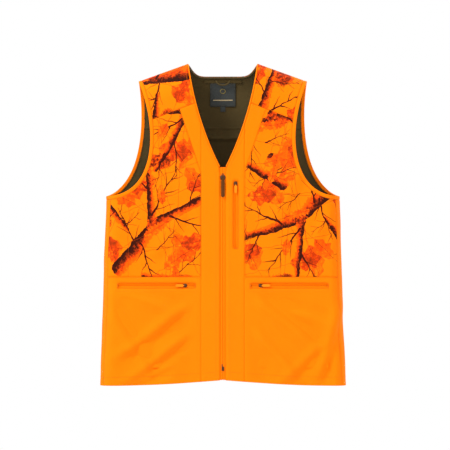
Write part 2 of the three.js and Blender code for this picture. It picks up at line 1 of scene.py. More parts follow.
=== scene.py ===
"""A sleeveless hunting vest: printed yokes and chest panels, plain bands, zip pockets and a lining.

Metres, in the frame of the CAD model: +X is the wearer's left, the front faces -Y and +Z is up.
Cloth is laid out as in the pattern, by how far round the body a point is from the centre line and
how high it is. Every piece of cloth takes the same soft folds, so layers and seams stay together.
"""

import json
import math

import bmesh
import bpy
import numpy as np
from mathutils import Matrix, Vector

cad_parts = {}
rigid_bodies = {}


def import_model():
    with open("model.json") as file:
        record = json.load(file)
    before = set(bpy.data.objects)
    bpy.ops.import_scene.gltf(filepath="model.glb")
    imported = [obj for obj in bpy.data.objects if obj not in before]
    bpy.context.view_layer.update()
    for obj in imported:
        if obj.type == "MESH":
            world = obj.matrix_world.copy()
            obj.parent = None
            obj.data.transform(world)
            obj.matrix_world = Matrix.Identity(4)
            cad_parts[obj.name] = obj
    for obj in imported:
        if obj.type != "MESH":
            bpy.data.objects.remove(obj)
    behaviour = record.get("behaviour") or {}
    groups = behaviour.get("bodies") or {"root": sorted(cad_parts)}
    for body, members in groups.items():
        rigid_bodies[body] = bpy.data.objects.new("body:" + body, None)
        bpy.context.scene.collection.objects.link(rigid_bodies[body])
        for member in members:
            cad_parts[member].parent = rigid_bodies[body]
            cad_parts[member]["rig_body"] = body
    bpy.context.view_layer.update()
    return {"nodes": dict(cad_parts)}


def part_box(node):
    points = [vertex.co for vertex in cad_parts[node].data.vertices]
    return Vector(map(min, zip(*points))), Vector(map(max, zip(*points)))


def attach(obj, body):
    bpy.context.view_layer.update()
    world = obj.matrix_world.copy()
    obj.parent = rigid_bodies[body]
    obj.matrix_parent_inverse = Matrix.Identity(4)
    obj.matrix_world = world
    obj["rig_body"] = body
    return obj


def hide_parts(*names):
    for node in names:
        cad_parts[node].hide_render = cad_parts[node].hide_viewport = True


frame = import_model()


def low(node):
    return np.array(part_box(node)[0])


def high(node):
    return np.array(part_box(node)[1])


# ---- sizes ------------------------------------------------------------------------------------
HALF_DEPTH = -low("left_placket")[1]
HEM_HALF = high("left_side_panel")[0]
CHEST_HALF = high("left_armhole_binding")[0] - 0.0002
SIDE_ROUND = 0.028
SHOULDER_ROUND = 0.070
ARMHOLE_DROP = 0.309
BODY_LENGTH = 0.751
HEM_RISE = 0.013
NECK_HALF = 0.083
SHOULDER_LENGTH = 0.114
SHOULDER_FALL = 0.041
BACK_NECK_DROP = 0.028
V_DROP = -high("left_zip_tape")[2] - 0.0004
V_HALF = 0.009
YOKE_NECK_DROP = 0.092
YOKE_ARM_DROP = 0.131
BACK_YOKE_DROP = -low("back_yoke")[2]
BAND_HALF = high("left_placket")[0] + 0.0002
BAND_SPREAD = 0.050
BAND_CORNER_DROP = 0.252
POCKET_SEAM_DROP = -low("left_chest_panel")[2]
SIDE_SEAM_TURN = 40 / 90
HEM_WIDTH = 0.022
BINDING_WIDTH = 0.007
ZIP_GAP = low("left_placket")[0]
CLOTH = 0.0011
LINING_DEPTH = 0.0064
LINING = 0.0007
TAPE_PLANE = (low("left_zip_tape")[1] + high("left_zip_tape")[1]) / 2
POCKET_ZIP_DROP = -(low("left_pocket_zip_lower")[2] + high("left_pocket_zip_upper")[2]) / 2
POCKET_ZIP = (low("left_pocket_zip_upper")[0], high("left_pocket_zip_upper")[0])
CHEST_ZIP_X = (low("chest_slider")[0] + high("chest_slider")[0]) / 2
CHEST_ZIP = (high("chest_zip_outer")[2], low("chest_zip_outer")[2])
SLOT_HALF = 0.0042

# ---- camera, light and floor ------------------------------------------------------------------
VIEW_WIDTH = 1.0485  # how much of the scene the picture takes in at the vest
VIEW_HEIGHT = -0.3763
VIEW_SIDE = 0.005
LENS = 450.0
SENSOR = 36.0
FLOOR_DROP = 1.25


def make_camera():
    data = bpy.data.cameras.new("camera")
    data.lens = LENS
    data.sensor_width = SENSOR
    data.clip_end = 60
    camera = bpy.data.objects.new("camera", data)
    bpy.context.collection.objects.link(camera)
    distance = VIEW_WIDTH * LENS / SENSOR + HALF_DEPTH
    camera.location = (VIEW_SIDE, -distance, VIEW_HEIGHT)
    camera.rotation_euler = (math.pi / 2, 0, 0)
    bpy.context.scene.camera = camera


def make_light(name, place, size, power):
    data = bpy.data.lights.new(name, "AREA")
    data.shape = "DISK"
    data.size = size
    data.energy = power
    lamp = bpy.data.objects.new(name, data)
    bpy.context.collection.objects.link(lamp)
    lamp.location = place
    aim = Vector((0, 0, VIEW_HEIGHT)) - Vector(place)
    lamp.rotation_euler = aim.to_track_quat("-Z", "Y").to_euler()


def make_studio():
    world = bpy.data.worlds.new("studio")
    bpy.context.scene.world = world
    world.use_nodes = True
    tree = world.node_tree
    backdrop = tree.nodes["Background"]
    backdrop.inputs["Color"].default_value = (1, 1, 1, 1)
    backdrop.inputs["Strength"].default_value = 1.0
    make_light("key_light", (-1.7, -1.5, 1.6), 0.9, 74)
    make_light("side_light", (2.4, -1.2, -0.1), 0.8, 9)
    make_light("rim_light", (1.2, 2.4, 1.0), 1.4, 40)
    bpy.context.scene.view_settings.view_transform = "Standard"
    sides, reach = 96, 1.5
    turns = np.arange(sides) * 2 * math.pi / sides
    ring = [(reach * math.cos(a), reach * math.sin(a), -FLOOR_DROP) for a in turns]
    mesh = bpy.data.meshes.new("floor")
    mesh.from_pydata(ring, [], [list(range(sides))])
    floor = bpy.data.objects.new("floor", mesh)
    bpy.context.collection.objects.link(floor)
    return floor


make_camera()
floor = make_studio()


# ---- shader maths -----------------------------------------------------------------------------
class Field:
    """A number that changes over a surface; Python's operators on it add Math nodes."""

    def __init__(self, shader, socket):
        self.shader = shader
        self.socket = socket

    def math(self, operation, *others):
        return self.shader.number("ShaderNodeMath", {"operation": operation}, [self, *others])

    def __add__(self, other):
        return self.math("ADD", other)

    __radd__ = __add__

    def __sub__(self, other):
        return self.math("SUBTRACT", other)

    def __rsub__(self, other):
        return self.shader.number("ShaderNodeMath", {"operation": "SUBTRACT"}, [other, self])

    def __mul__(self, other):
        return self.math("MULTIPLY", other)

    __rmul__ = __mul__

    def __truediv__(self, other):
        return self.math("DIVIDE", other)

    def __abs__(self):
        return self.math("ABSOLUTE")

    def lesser(self, other):
        return self.math("MINIMUM", other)

    def greater(self, other):
        return self.math("MAXIMUM", other)

    def inside(self, edge):
        """Above 0 where the number is below 0, over an edge of this width; a Mix node clamps it."""
        return self.math("MULTIPLY_ADD", -1 / edge, 0.5)

    def within(self):
        return self.greater(0.0).lesser(1.0)


class Shader:
    """One material's node tree, with a Principled surface."""

    def __init__(self, name, **surface):
        self.material = bpy.data.materials.new(name)
        self.material.use_nodes = True
        self.tree = self.material.node_tree
        self.surface = self.tree.nodes["Principled BSDF"]
        for socket, value in surface.items():
            self.surface.inputs[socket.replace("_", " ")].default_value = value
        self.place = self.node("ShaderNodeTexCoord", {}, []).outputs["Object"]

    def node(self, kind, settings, sockets):
        """Add a node: its settings first, then its sockets by place or by name."""
        node = self.tree.nodes.new(kind)
        for key, value in settings.items():
            if key == "stops":
                self.set_stops(node.color_ramp, value)
            else:
                setattr(node, key, value)
        named = sockets.items() if isinstance(sockets, dict) else enumerate(sockets)
        for key, value in named:
            self.feed(node.inputs[key], value)
        return node

    def feed(self, socket, value):
        if isinstance(value, Field):
            value = value.socket
        if isinstance(value, bpy.types.NodeSocket):
            self.tree.links.new(value, socket)
        else:
            socket.default_value = value

    @staticmethod
    def set_stops(ramp, stops):
        while len(ramp.elements) < len(stops):
            ramp.elements.new(1.0)
        for element, (place, colour) in zip(ramp.elements, stops):
            element.position = place
            element.color = (*colour, 1.0)

    def number(self, kind, settings, sockets):
        return Field(self, self.node(kind, settings, sockets).outputs[0])

    def vector(self, operation, *sockets):
        return self.node("ShaderNodeVectorMath", {"operation": operation}, list(sockets))

    def moved(self, shift):
        return self.vector("SUBTRACT", self.place, shift).outputs[0]

    def noise(self, scale, detail=2.0, roughness=0.5, place=None):
        sockets = {"Vector": place or self.place, "Scale": scale, "Detail": detail, "Roughness": roughness}
        return self.node("ShaderNodeTexNoise", {}, sockets)

    def cloud(self, scale, detail=2.0, roughness=0.5):
        return Field(self, self.noise(scale, detail, roughness).outputs["Fac"])

    def mix(self, share, first, second):
        return self.node("ShaderNodeMix", {"data_type": "RGBA"}, {0: share, 6: first, 7: second}).outputs[2]

    def ramp(self, share, stops):
        return self.node("ShaderNodeValToRGB", {"stops": stops}, [share]).outputs[0]

    def bump(self, height, strength, distance):
        sockets = {"Height": height, "Strength": strength, "Distance": distance}
        normal = self.node("ShaderNodeBump", {}, sockets).outputs[0]
        self.feed(self.surface.inputs["Normal"], normal)

    def set(self, socket, value):
        self.feed(self.surface.inputs[socket], value)


def colour(r, g, b):
    """A colour given as it looks on a screen, 0 to 255."""
    return tuple(((c / 255 + 0.055) / 1.055) ** 2.4 if c > 10 else c / 255 / 12.92 for c in (r, g, b))


def rgba(c):
    return (*c, 1.0)


BLAZE = colour(255, 125, 0)
BLAZE_DEEP = colour(255, 111, 2)
BARK_DARK = colour(62, 18, 8)
BARK_MID = colour(146, 46, 8)
BARK_BLACK = colour(40, 18, 12)
LEAF = colour(255, 92, 2)
LEAF_DEEP = colour(226, 62, 6)
OLIVE = colour(84, 69, 36)
OLIVE_DEEP = colour(66, 54, 28)


def weave(shader, pitch, strength):
    """Threads over and under, and a fine fuzz, as bumps."""
    turn = 2 * math.pi / pitch
    split = shader.node("ShaderNodeSeparateXYZ", {}, [shader.place])
    x, y, z = (Field(shader, split.outputs[i]) for i in range(3))
    over = ((x + y) * turn).math("SINE") * (z * turn).math("SINE")
    height = over * 0.5 + shader.cloud(900, 3.0, 0.7) * 0.8
    shader.bump(height, strength, 0.0004)


def blaze_cloth(name="blaze_cloth", base=BLAZE, deep=BLAZE_DEEP):
    shader = Shader(name, Roughness=0.85, Specular_IOR_Level=0.06)
    broad = shader.cloud(9, 4.0, 0.6)
    fine = shader.cloud(260, 2.0, 0.7)
    share = (broad * 0.55 + fine * 0.25 - 0.16).within()
    shader.set("Base Color", shader.mix(share, rgba(base), rgba(deep)))
    shader.set("Roughness", fine * 0.18 + 0.74)
    weave(shader, 0.0011, 0.55)
    return shader.material


def lining_cloth():
    shader = Shader("olive_lining", Roughness=0.75, Specular_IOR_Level=0.12)
    broad = shader.cloud(14, 4.0, 0.6)
    fine = shader.cloud(420, 2.0, 0.7)
    share = (broad * 0.8 + fine * 0.4 - 0.2).within()
    shader.set("Base Color", shader.mix(share, rgba(OLIVE_DEEP), rgba(OLIVE)))
    shader.set("Roughness", fine * 0.25 + 0.55)
    weave(shader, 0.0009, 0.4)
    return shader.material


def thread(name, tone):
    shader = Shader(name, Roughness=0.7, Specular_IOR_Level=0.1)
    twist = shader.cloud(1500, 1.0)
    shader.set("Base Color", shader.mix(twist, rgba(tone), rgba(tuple(c * 0.7 for c in tone))))
    shader.bump(twist, 0.4, 0.0002)
    return shader.material


def bronze_metal():
    shader = Shader("bronze_metal", Metallic=0.85, Roughness=0.38)
    wear = shader.cloud(240, 4.0, 0.7)
    tones = [(0.35, colour(64, 40, 26)), (0.62, colour(104, 70, 46)), (0.85, colour(178, 140, 104))]
    shader.set("Base Color", shader.ramp(wear, tones))
    shader.set("Roughness", wear * 0.3 + 0.24)
    shader.bump(shader.cloud(1800, 2.0), 0.15, 0.0001)
    return shader.material


def pull_rubber(name, tone, dark):
    shader = Shader(name, Roughness=0.6, Specular_IOR_Level=0.12)
    grain = shader.cloud(1100, 3.0, 0.7)
    shader.set("Base Color", shader.mix(grain, rgba(tone), rgba(dark)))
    shader.set("Roughness", grain * 0.2 + 0.4)
    shader.bump(grain, 0.35, 0.0002)
    return shader.material


def floor_paint():
    shader = Shader("floor_paint", Roughness=0.9)
    grain = shader.cloud(30, 3.0)
    shader.set("Base Color", shader.mix(grain, rgba((0.9, 0.9, 0.9)), rgba((0.93, 0.93, 0.93))))
    radius = Field(shader, shader.vector("LENGTH", shader.moved((0, 0, -FLOOR_DROP))).outputs[1])
    shader.set("Alpha", (radius - 1.2).inside(0.55).within())
    return shader.material


# ---- the print: bark, twigs and leaves --------------------------------------------------------
class Stamp(Shader):
    """Nodes that many shapes share, in a group with sockets of its own."""

    def __init__(self, name, sockets):
        self.tree = bpy.data.node_groups.new(name, "ShaderNodeTree")
        for socket, kind in sockets.items():
            self.tree.interface.new_socket(socket, in_out="INPUT", socket_type="NodeSocket" + kind)
        self.tree.interface.new_socket("Ground", in_out="OUTPUT", socket_type="NodeSocketColor")
        self.given = self.node("NodeGroupInput", {}, []).outputs
        self.result = self.node("NodeGroupOutput", {}, []).inputs[0]


def twig_stamp():
    """A tapering line: Start and Back give its root and its run, and Axis measures along it."""
    kinds = {"Ground": "Color", "Place": "Vector", "Start": "Vector", "Axis": "Vector", "Back": "Vector",
             "Thick": "Float", "Taper": "Float", "Tone": "Color"}
    stamp = Stamp("twig", kinds)
    given = stamp.given
    away = stamp.vector("SUBTRACT", given["Place"], given["Start"]).outputs[0]
    share = Field(stamp, stamp.vector("DOT_PRODUCT", away, given["Axis"]).outputs[1]).within()
    step = stamp.node("ShaderNodeCombineXYZ", {}, [share, share, share]).outputs[0]
    nearest = stamp.vector("MULTIPLY_ADD", step, given["Back"], away).outputs[0]
    distance = Field(stamp, stamp.vector("LENGTH", nearest).outputs[1])
    width = share * Field(stamp, given["Taper"]) + Field(stamp, given["Thick"])
    mask = (distance - width).inside(0.0010)
    stamp.feed(stamp.result, stamp.mix(mask, given["Ground"], given["Tone"]))
    return stamp.tree


class Print:
    """Shapes laid over the orange ground one after the other, in the plane of the cloth."""

    def __init__(self, name, extent):
        self.extent = extent
        self.shader = Shader(name, Roughness=0.85, Specular_IOR_Level=0.06)
        shader = self.shader
        flat = shader.vector("MULTIPLY", shader.place, (1, 0, 1)).outputs[0]
        self.grain = shader.cloud(420, 3.0, 0.75)
        self.patch = shader.cloud(70, 3.0, 0.65)
        self.fibre = shader.cloud(190, 4.0, 0.8)
        self.coarse = self.bent(self.bent(flat, 22, 0.016), 75, 0.005)
        self.rough = self.bent(self.coarse, 210, 0.0030)
        broad = shader.cloud(9, 4.0, 0.6)
        share = (broad * 0.55 + self.grain * 0.25 - 0.16).within()
        self.ground = shader.mix(share, rgba(BLAZE), rgba(BLAZE_DEEP))

    def bent(self, place, scale, amount):
        shader = self.shader
        wander = shader.noise(scale, 2.0, 0.5, place).outputs["Color"]
        shift = shader.vector("SUBTRACT", wander, (0.5, 0.5, 0.5)).outputs[0]
        shift = shader.vector("MULTIPLY", shift, (amount, 0, amount)).outputs[0]
        return shader.vector("ADD", place, shift).outputs[0]

    def misses(self, first, last, margin):
        """Whether a shape between two points lies wholly outside the panel."""
        for axis, (near, far) in enumerate(self.extent):
            lowest, highest = sorted((first[axis], last[axis]))
            if highest < near - margin or lowest > far + margin:
                return True
        return False

    def lay(self, mask, tone):
        self.ground = self.shader.mix(mask, self.ground, tone)

    def along(self, place, start, end):
        """The distance to the line from start to end, the share of the way along it, and its frame."""
        run = np.subtract(end, start)
        shader = self.shader
        away = shader.vector("SUBTRACT", place, (start[0], 0, start[1])).outputs[0]
        axis = run / (run @ run)
        dot = Field(shader, shader.vector("DOT_PRODUCT", away, (axis[0], 0, axis[1])).outputs[1])
        share = dot.within()
        step = shader.node("ShaderNodeCombineXYZ", {}, [share, share, share]).outputs[0]
        back = shader.node("ShaderNodeVectorMath", {"operation": "MULTIPLY_ADD"},
                           [step, (-run[0], 0, -run[1]), away])
        return Field(shader, shader.vector("LENGTH", back.outputs[0]).outputs[1]), share, away

    def bark(self, start, end, thick, thin):
        """A limb, nearly black along one side and broken red-orange along the other."""
        distance, share, away = self.along(self.rough, start, end)
        run = np.subtract(end, start) / np.linalg.norm(np.subtract(end, start))
        across = self.shader.vector("DOT_PRODUCT", away, (-run[1], 0, run[0])).outputs[1]
        width = share * (thin - thick) + thick
        side = Field(self.shader, across) / (width * 2) + 0.5
        tone = side * 0.95 + self.patch * 0.9 + self.fibre * 1.3 - 1.28
        stops = [(0.0, LEAF), (0.12, LEAF_DEEP), (0.3, BARK_MID), (0.48, BARK_DARK), (0.9, BARK_BLACK)]
        fray = distance - width + (self.fibre - 0.52) * 0.020 * (1.15 - side)
        self.lay(fray.inside(0.0009), self.shader.ramp(tone, stops))

    def twig(self, start, end, thick, thin):
        if self.misses(start, end, 0.010):
            return
        run = np.subtract(end, start)
        axis = run / (run @ run)
        sockets = {"Ground": self.ground, "Place": self.coarse, "Start": (start[0], 0, start[1]),
                   "Axis": (axis[0], 0, axis[1]), "Back": (-run[0], 0, -run[1]),
                   "Thick": thick, "Taper": thin - thick, "Tone": rgba(BARK_DARK)}
        self.ground = self.shader.node("ShaderNodeGroup", {"node_tree": TWIG}, sockets).outputs[0]

    def spray(self, start, end, thick, forks, reach):
        """A twig with side shoots, left and right in turn."""
        start, end = np.array(start), np.array(end)
        run = end - start
        self.twig(tuple(start), tuple(end), thick, 0.0005)
        for i in range(forks):
            share = (i + 0.7) / (forks + 0.3)
            root = start + run * share
            turn = 0.62 if i % 2 else -0.75
            shoot = np.array([run[0] * math.cos(turn) - run[1] * math.sin(turn),
                              run[0] * math.sin(turn) + run[1] * math.cos(turn)])
            tip = root + shoot * reach * (1.1 - 0.6 * share)
            self.twig(tuple(root), tuple(tip), thick * 0.55, 0.0003)

    def leaf(self, stem, tip, width, teeth, tone, deep):
        """A pointed leaf with a midrib, side veins and a thin dark outline."""
        shader = self.shader
        run = np.subtract(tip, stem)
        length = np.linalg.norm(run)
        unit = run / length
        away = shader.vector("SUBTRACT", self.rough, (stem[0], 0, stem[1])).outputs[0]
        up = Field(shader, shader.vector("DOT_PRODUCT", away, (unit[0], 0, unit[1])).outputs[1])
        across = Field(shader, shader.vector("DOT_PRODUCT", away, (-unit[1], 0, unit[0])).outputs[1])
        side = abs(across)
        share = up / length
        bulge = (share * (1 - share) * 4).greater(0.0).math("POWER", 0.75) * width
        bulge = bulge * ((up * (2 * math.pi / teeth)).math("SINE") * 0.2 + 0.88)
        edge = side - bulge
        veins = abs(((up - side * 0.9) * (math.pi / 0.009)).math("SINE"))
        vein = (veins - 0.14).inside(0.3) * 0.55
        rib = (side - 0.0006).inside(0.0009) * 0.9
        shade = self.patch * 1.7 + self.fibre * 0.8 - 1.0 + share * 0.3
        skin = shader.ramp(shade, [(0.0, colour(255, 128, 4)), (0.35, tone), (0.75, deep), (1.0, BARK_MID)])
        skin = shader.mix(vein.greater(rib), skin, rgba(BARK_MID))
        self.lay(edge.inside(0.0012), skin)
        self.lay((abs(edge) - 0.0003).inside(0.0009) * 0.8, rgba(BARK_MID))

    def mottle(self, middle, reach, amount):
        """A patch of broken bark that fades out round its edge."""
        shader = self.shader
        away = shader.vector("SUBTRACT", self.coarse, (middle[0], 0, middle[1])).outputs[0]
        away = shader.vector("MULTIPLY", away, (1 / reach[0], 0, 1 / reach[1])).outputs[0]
        far = Field(shader, shader.vector("LENGTH", away).outputs[1])
        edge = far + (self.patch - 0.5) * 1.0 + (self.fibre - 0.5) * 1.4 - 1.0
        tone = self.fibre * 2.6 + self.patch * 0.9 - 1.55 + amount * 0.45
        stops = [(0.0, LEAF), (0.2, LEAF_DEEP), (0.42, BARK_MID), (0.7, BARK_DARK), (1.0, BARK_BLACK)]
        self.lay(edge.inside(0.10).lesser(1.0), shader.ramp(tone, stops))

    def finish(self):
        shader = self.shader
        shader.set("Base Color", self.ground)
        shader.set("Roughness", self.grain * 0.18 + 0.74)
        weave(shader, 0.0011, 0.55)
        return shader.material


WOODLAND = [
    # a stock woodland print, about 270 mm square: the kind of shape, its two ends and its sizes
    ("leaf", (-0.118, 0.062), (-0.058, 0.018), 0.024, 0.026),
    ("leaf", (-0.050, 0.078), (-0.098, 0.022), 0.022, 0.024, "deep"),
    ("leaf", (-0.122, 0.006), (-0.060, 0.000), 0.018, 0.022),
    ("leaf", (0.052, -0.018), (0.118, -0.052), 0.025, 0.027),
    ("leaf", (0.126, 0.012), (0.074, -0.030), 0.021, 0.024, "deep"),
    ("leaf", (0.066, -0.096), (0.098, -0.036), 0.018, 0.022),
    ("leaf", (-0.098, -0.132), (-0.040, -0.100), 0.021, 0.024),
    ("leaf", (-0.036, -0.140), (-0.082, -0.094), 0.018, 0.022, "deep"),
    ("leaf", (0.004, 0.134), (0.060, 0.102), 0.023, 0.026),
    ("leaf", (0.066, 0.136), (0.026, 0.090), 0.018, 0.022, "deep"),
    ("mottle", (-0.060, 0.118), (0.026, 0.018), 0.5),
    ("mottle", (0.100, 0.092), (0.022, 0.026), 0.4),
    ("mottle", (-0.112, -0.064), (0.018, 0.024), 0.4),
    ("bark", (-0.024, -0.148), (0.000, -0.012), 0.0165, 0.0125),
    ("bark", (0.000, -0.012), (0.092, 0.118), 0.0115, 0.0060),
    ("bark", (-0.002, -0.030), (-0.088, 0.110), 0.0095, 0.0050),
    ("bark", (0.134, -0.094), (0.036, -0.132), 0.0120, 0.0060),
    ("bark", (-0.138, -0.026), (-0.050, -0.058), 0.0095, 0.0040),
    ("mottle", (0.000, -0.022), (0.015, 0.017), 0.5),
    ("spray", (0.020, 0.016), (0.128, 0.036), 0.0026, 5, 0.35),
    ("spray", (-0.018, -0.002), (-0.016, 0.126), 0.0024, 6, 0.35),
    ("spray", (-0.046, 0.040), (-0.132, 0.078), 0.0018, 5, 0.40),
    ("spray", (0.050, 0.058), (0.034, 0.140), 0.0016, 5, 0.45),
    ("spray", (-0.012, -0.082), (-0.094, -0.026), 0.0020, 5, 0.40),
    ("spray", (-0.010, -0.070), (0.072, -0.142), 0.0022, 6, 0.35),
    ("spray", (0.096, -0.110), (0.128, -0.018), 0.0014, 5, 0.40),
    ("spray", (-0.098, -0.040), (-0.134, -0.128), 0.0014, 5, 0.45),
    ("spray", (0.070, 0.086), (0.132, 0.062), 0.0012, 4, 0.45),
    ("spray", (0.030, -0.066), (0.050, -0.006), 0.0012, 4, 0.45),
    ("spray", (-0.066, 0.076), (-0.128, 0.138), 0.0014, 4, 0.40),
    ("spray", (-0.060, -0.056), (-0.042, -0.012), 0.0010, 4, 0.50),
    ("leaf", (-0.010, -0.052), (0.026, 0.004), 0.0110, 0.0080),
    ("leaf", (-0.030, 0.070), (-0.008, 0.034), 0.0100, 0.0080),
    ("leaf", (0.112, -0.118), (0.086, -0.080), 0.0100, 0.0080),
]
TWIG = twig_stamp()


def woodland(name, extent, *repeats):
    """The stock print on one panel, whose sides are extent; each repeat has a middle and a turn."""
    p = Print(name, extent)
    for middle, turn in repeats:
        ahead = np.array([math.cos(turn), math.sin(turn)])
        aside = np.array([-ahead[1], ahead[0]])
        for kind, start, end, *sizes in WOODLAND:
            first = tuple(np.array(middle) + ahead * start[0] + aside * start[1])
            last = tuple(np.array(middle) + ahead * end[0] + aside * end[1])
            if kind == "mottle":
                if not p.misses(first, first, 0.025):
                    p.mottle(first, end, *sizes)
            elif p.misses(first, last, 0.020):
                continue
            elif kind == "leaf":
                tones = (LEAF_DEEP, BARK_MID) if "deep" in sizes else (LEAF, LEAF_DEEP)
                p.leaf(first, last, sizes[0], sizes[1], *tones)
            else:
                getattr(p, kind)(first, last, *sizes)
    return p.finish()


def panel_extent(sign, near, far, low_z, high_z):
    return tuple(sorted((sign * near, sign * far))), (low_z, high_z)


def front_prints():
    """Yoke and chest prints, left and right, each cut from another place of the cloth."""
    yoke_low = -YOKE_ARM_DROP
    yokes = (
        woodland("left_yoke_print", panel_extent(1, 0.065, 0.19, yoke_low, 0), ((0.070, -0.145), 0.3)),
        woodland("right_yoke_print", panel_extent(-1, 0.065, 0.19, yoke_low, 0), ((-0.225, -0.045), 1.9)),
    )
    chests = (
        woodland("left_chest_print", panel_extent(1, 0.05, 0.27, -POCKET_SEAM_DROP, -0.106),
                 ((0.165, -0.375), 2.5), ((0.130, -0.120), -0.9)),
        woodland("right_chest_print", panel_extent(-1, 0.05, 0.27, -POCKET_SEAM_DROP, -0.106),
                 ((-0.150, -0.360), -0.5), ((-0.105, -0.115), 2.1)),
    )
    return yokes, chests


def back_print():
    extent = (-0.2, 0.2), (-BACK_YOKE_DROP, 0)
    return woodland("back_yoke_print", extent, ((-0.10, -0.08), 0.9), ((0.115, -0.06), -1.3))


# ---- the body's surface -----------------------------------------------------------------------
SIDE_QUARTER = (math.pi / 2) * math.sqrt((HALF_DEPTH**2 + SIDE_ROUND**2) / 2)
SHOULDER_SLOPE = SHOULDER_FALL / SHOULDER_LENGTH


def smooth(start, end, value):
    t = np.clip((value - start) / (end - start), 0, 1)
    return t * t * (3 - 2 * t)


def between(a, b, share):
    return a + (b - a) * share


def flat_half(z):
    share = np.clip((-z - ARMHOLE_DROP) / (BODY_LENGTH - ARMHOLE_DROP), 0, 1)
    return between(CHEST_HALF, HEM_HALF, share) - SIDE_ROUND


def side_edge(z):
    return flat_half(z) + SIDE_QUARTER


def side_seam(z):
    return flat_half(z) + SIDE_QUARTER * SIDE_SEAM_TURN


def shoulder_line(x):
    return -SHOULDER_SLOPE * np.maximum(np.abs(x) - NECK_HALF, 0)


def crown(x):
    return shoulder_line(x) - SHOULDER_ROUND


def top_of(x):
    return crown(x) + SHOULDER_ROUND * math.pi / 2


def hem_line(x):
    share = np.minimum(np.abs(x) / (HEM_HALF - SIDE_ROUND), 1)
    return -BODY_LENGTH + HEM_RISE * (1 - np.sin(share * math.pi / 2))


def on_cloth(x, z):
    """A point of the front view, as how far round and how high."""
    past = max(abs(x) - flat_half(z), 0)
    turn = math.asin(min(past / SIDE_ROUND, 1)) / (math.pi / 2)
    around = math.copysign(abs(x) - past + SIDE_QUARTER * turn, x)
    drop = max(shoulder_line(x) - z, 0)
    if drop >= SHOULDER_ROUND:
        return np.array([around, z])
    lean = math.pi / 2 - math.acos(1 - drop / SHOULDER_ROUND)
    return np.array([around, crown(x) + SHOULDER_ROUND * lean])


def surface(side, around, height):
    past = np.maximum(np.abs(around) - flat_half(height), 0)
    turn = past / SIDE_QUARTER * math.pi / 2
    x = np.sign(around) * (np.abs(around) - past + SIDE_ROUND * np.sin(turn))
    lean = np.maximum((height - crown(x)) / SHOULDER_ROUND, 0)
    z = np.where(lean > 0, crown(x) + SHOULDER_ROUND * np.sin(lean), height)
    return np.stack([x, -side * HALF_DEPTH * np.cos(turn) * np.cos(lean), z], axis=-1)


def waves(x, z, seed, count, length):
    """A smooth, wandering height from a few sines, from -1 to 1."""
    rng = np.random.default_rng(seed)
    total = 0
    for _ in range(count):
        angle = rng.uniform(0, 2 * math.pi)
        pitch = 2 * math.pi / (length * rng.uniform(0.7, 1.5))
        total = total + np.sin(pitch * (x * math.cos(angle) + z * math.sin(angle)) + rng.uniform(0, 6.3))
    return total / count


def fold(x, z, start, end, width, amount):
    """A soft crease along a line: a ridge with a hollow beside it, fading at both ends."""
    run = np.subtract(end, start)
    length = math.hypot(*run)
    unit = run / length
    along = ((x - start[0]) * unit[0] + (z - start[1]) * unit[1]) / length
    across = -(x - start[0]) * unit[1] + (z - start[1]) * unit[0]
    fade = smooth(0, 0.25, along) * (1 - smooth(0.7, 1.0, along))
    across = across + 0.25 * width * np.sin(along * 7)
    shape = np.exp(-((across / width) ** 2)) - 0.7 * np.exp(-(((across - 1.5 * width) / width) ** 2))
    return amount * fade * shape


FRONT_FOLDS = [
    # where each crease starts and ends in the front view, its half width and its height
    ((-0.055, -0.548), (-0.276, -0.700), 0.0130, 0.0070),
    ((-0.060, -0.620), (-0.262, -0.762), 0.0110, 0.0064),
    ((-0.278, -0.505), (-0.075, -0.600), 0.0140, 0.0042),
    ((-0.272, -0.560), (-0.150, -0.775), 0.0150, 0.0060),
    ((-0.110, -0.700), (-0.235, -0.752), 0.0090, 0.0040),
    ((-0.256, -0.350), (-0.170, -0.500), 0.0130, 0.0042),
    ((-0.190, -0.220), (-0.075, -0.400), 0.0170, 0.0036),
    ((-0.066, -0.330), (-0.190, -0.470), 0.0150, 0.0030),
    ((0.052, -0.525), (0.240, -0.690), 0.0130, 0.0062),
    ((0.060, -0.600), (0.190, -0.765), 0.0120, 0.0058),
    ((0.284, -0.540), (0.206, -0.765), 0.0130, 0.0084),
    ((0.110, -0.560), (0.270, -0.620), 0.0120, 0.0036),
    ((0.250, -0.640), (0.110, -0.760), 0.0110, 0.0050),
    ((0.264, -0.330), (0.170, -0.490), 0.0130, 0.0042),
    ((0.075, -0.350), (0.190, -0.500), 0.0140, 0.0034),
    ((0.200, -0.230), (0.100, -0.390), 0.0160, 0.0030),
]
BACK_FOLDS = [
    ((-0.190, -0.200), (-0.050, -0.540), 0.0180, 0.0078),
    ((0.180, -0.220), (0.070, -0.580), 0.0170, 0.0074),
    ((-0.262, -0.330), (-0.150, -0.620), 0.0150, 0.0070),
    ((0.264, -0.340), (0.180, -0.660), 0.0160, 0.0066),
    ((0.030, -0.360), (-0.030, -0.765), 0.0200, 0.0070),
    ((-0.120, -0.540), (-0.200, -0.775), 0.0140, 0.0070),
    ((0.110, -0.580), (0.170, -0.775), 0.0140, 0.0066),
    ((-0.270, -0.600), (-0.040, -0.700), 0.0140, 0.0046),
    ((0.050, -0.300), (0.240, -0.430), 0.0160, 0.0044),
]


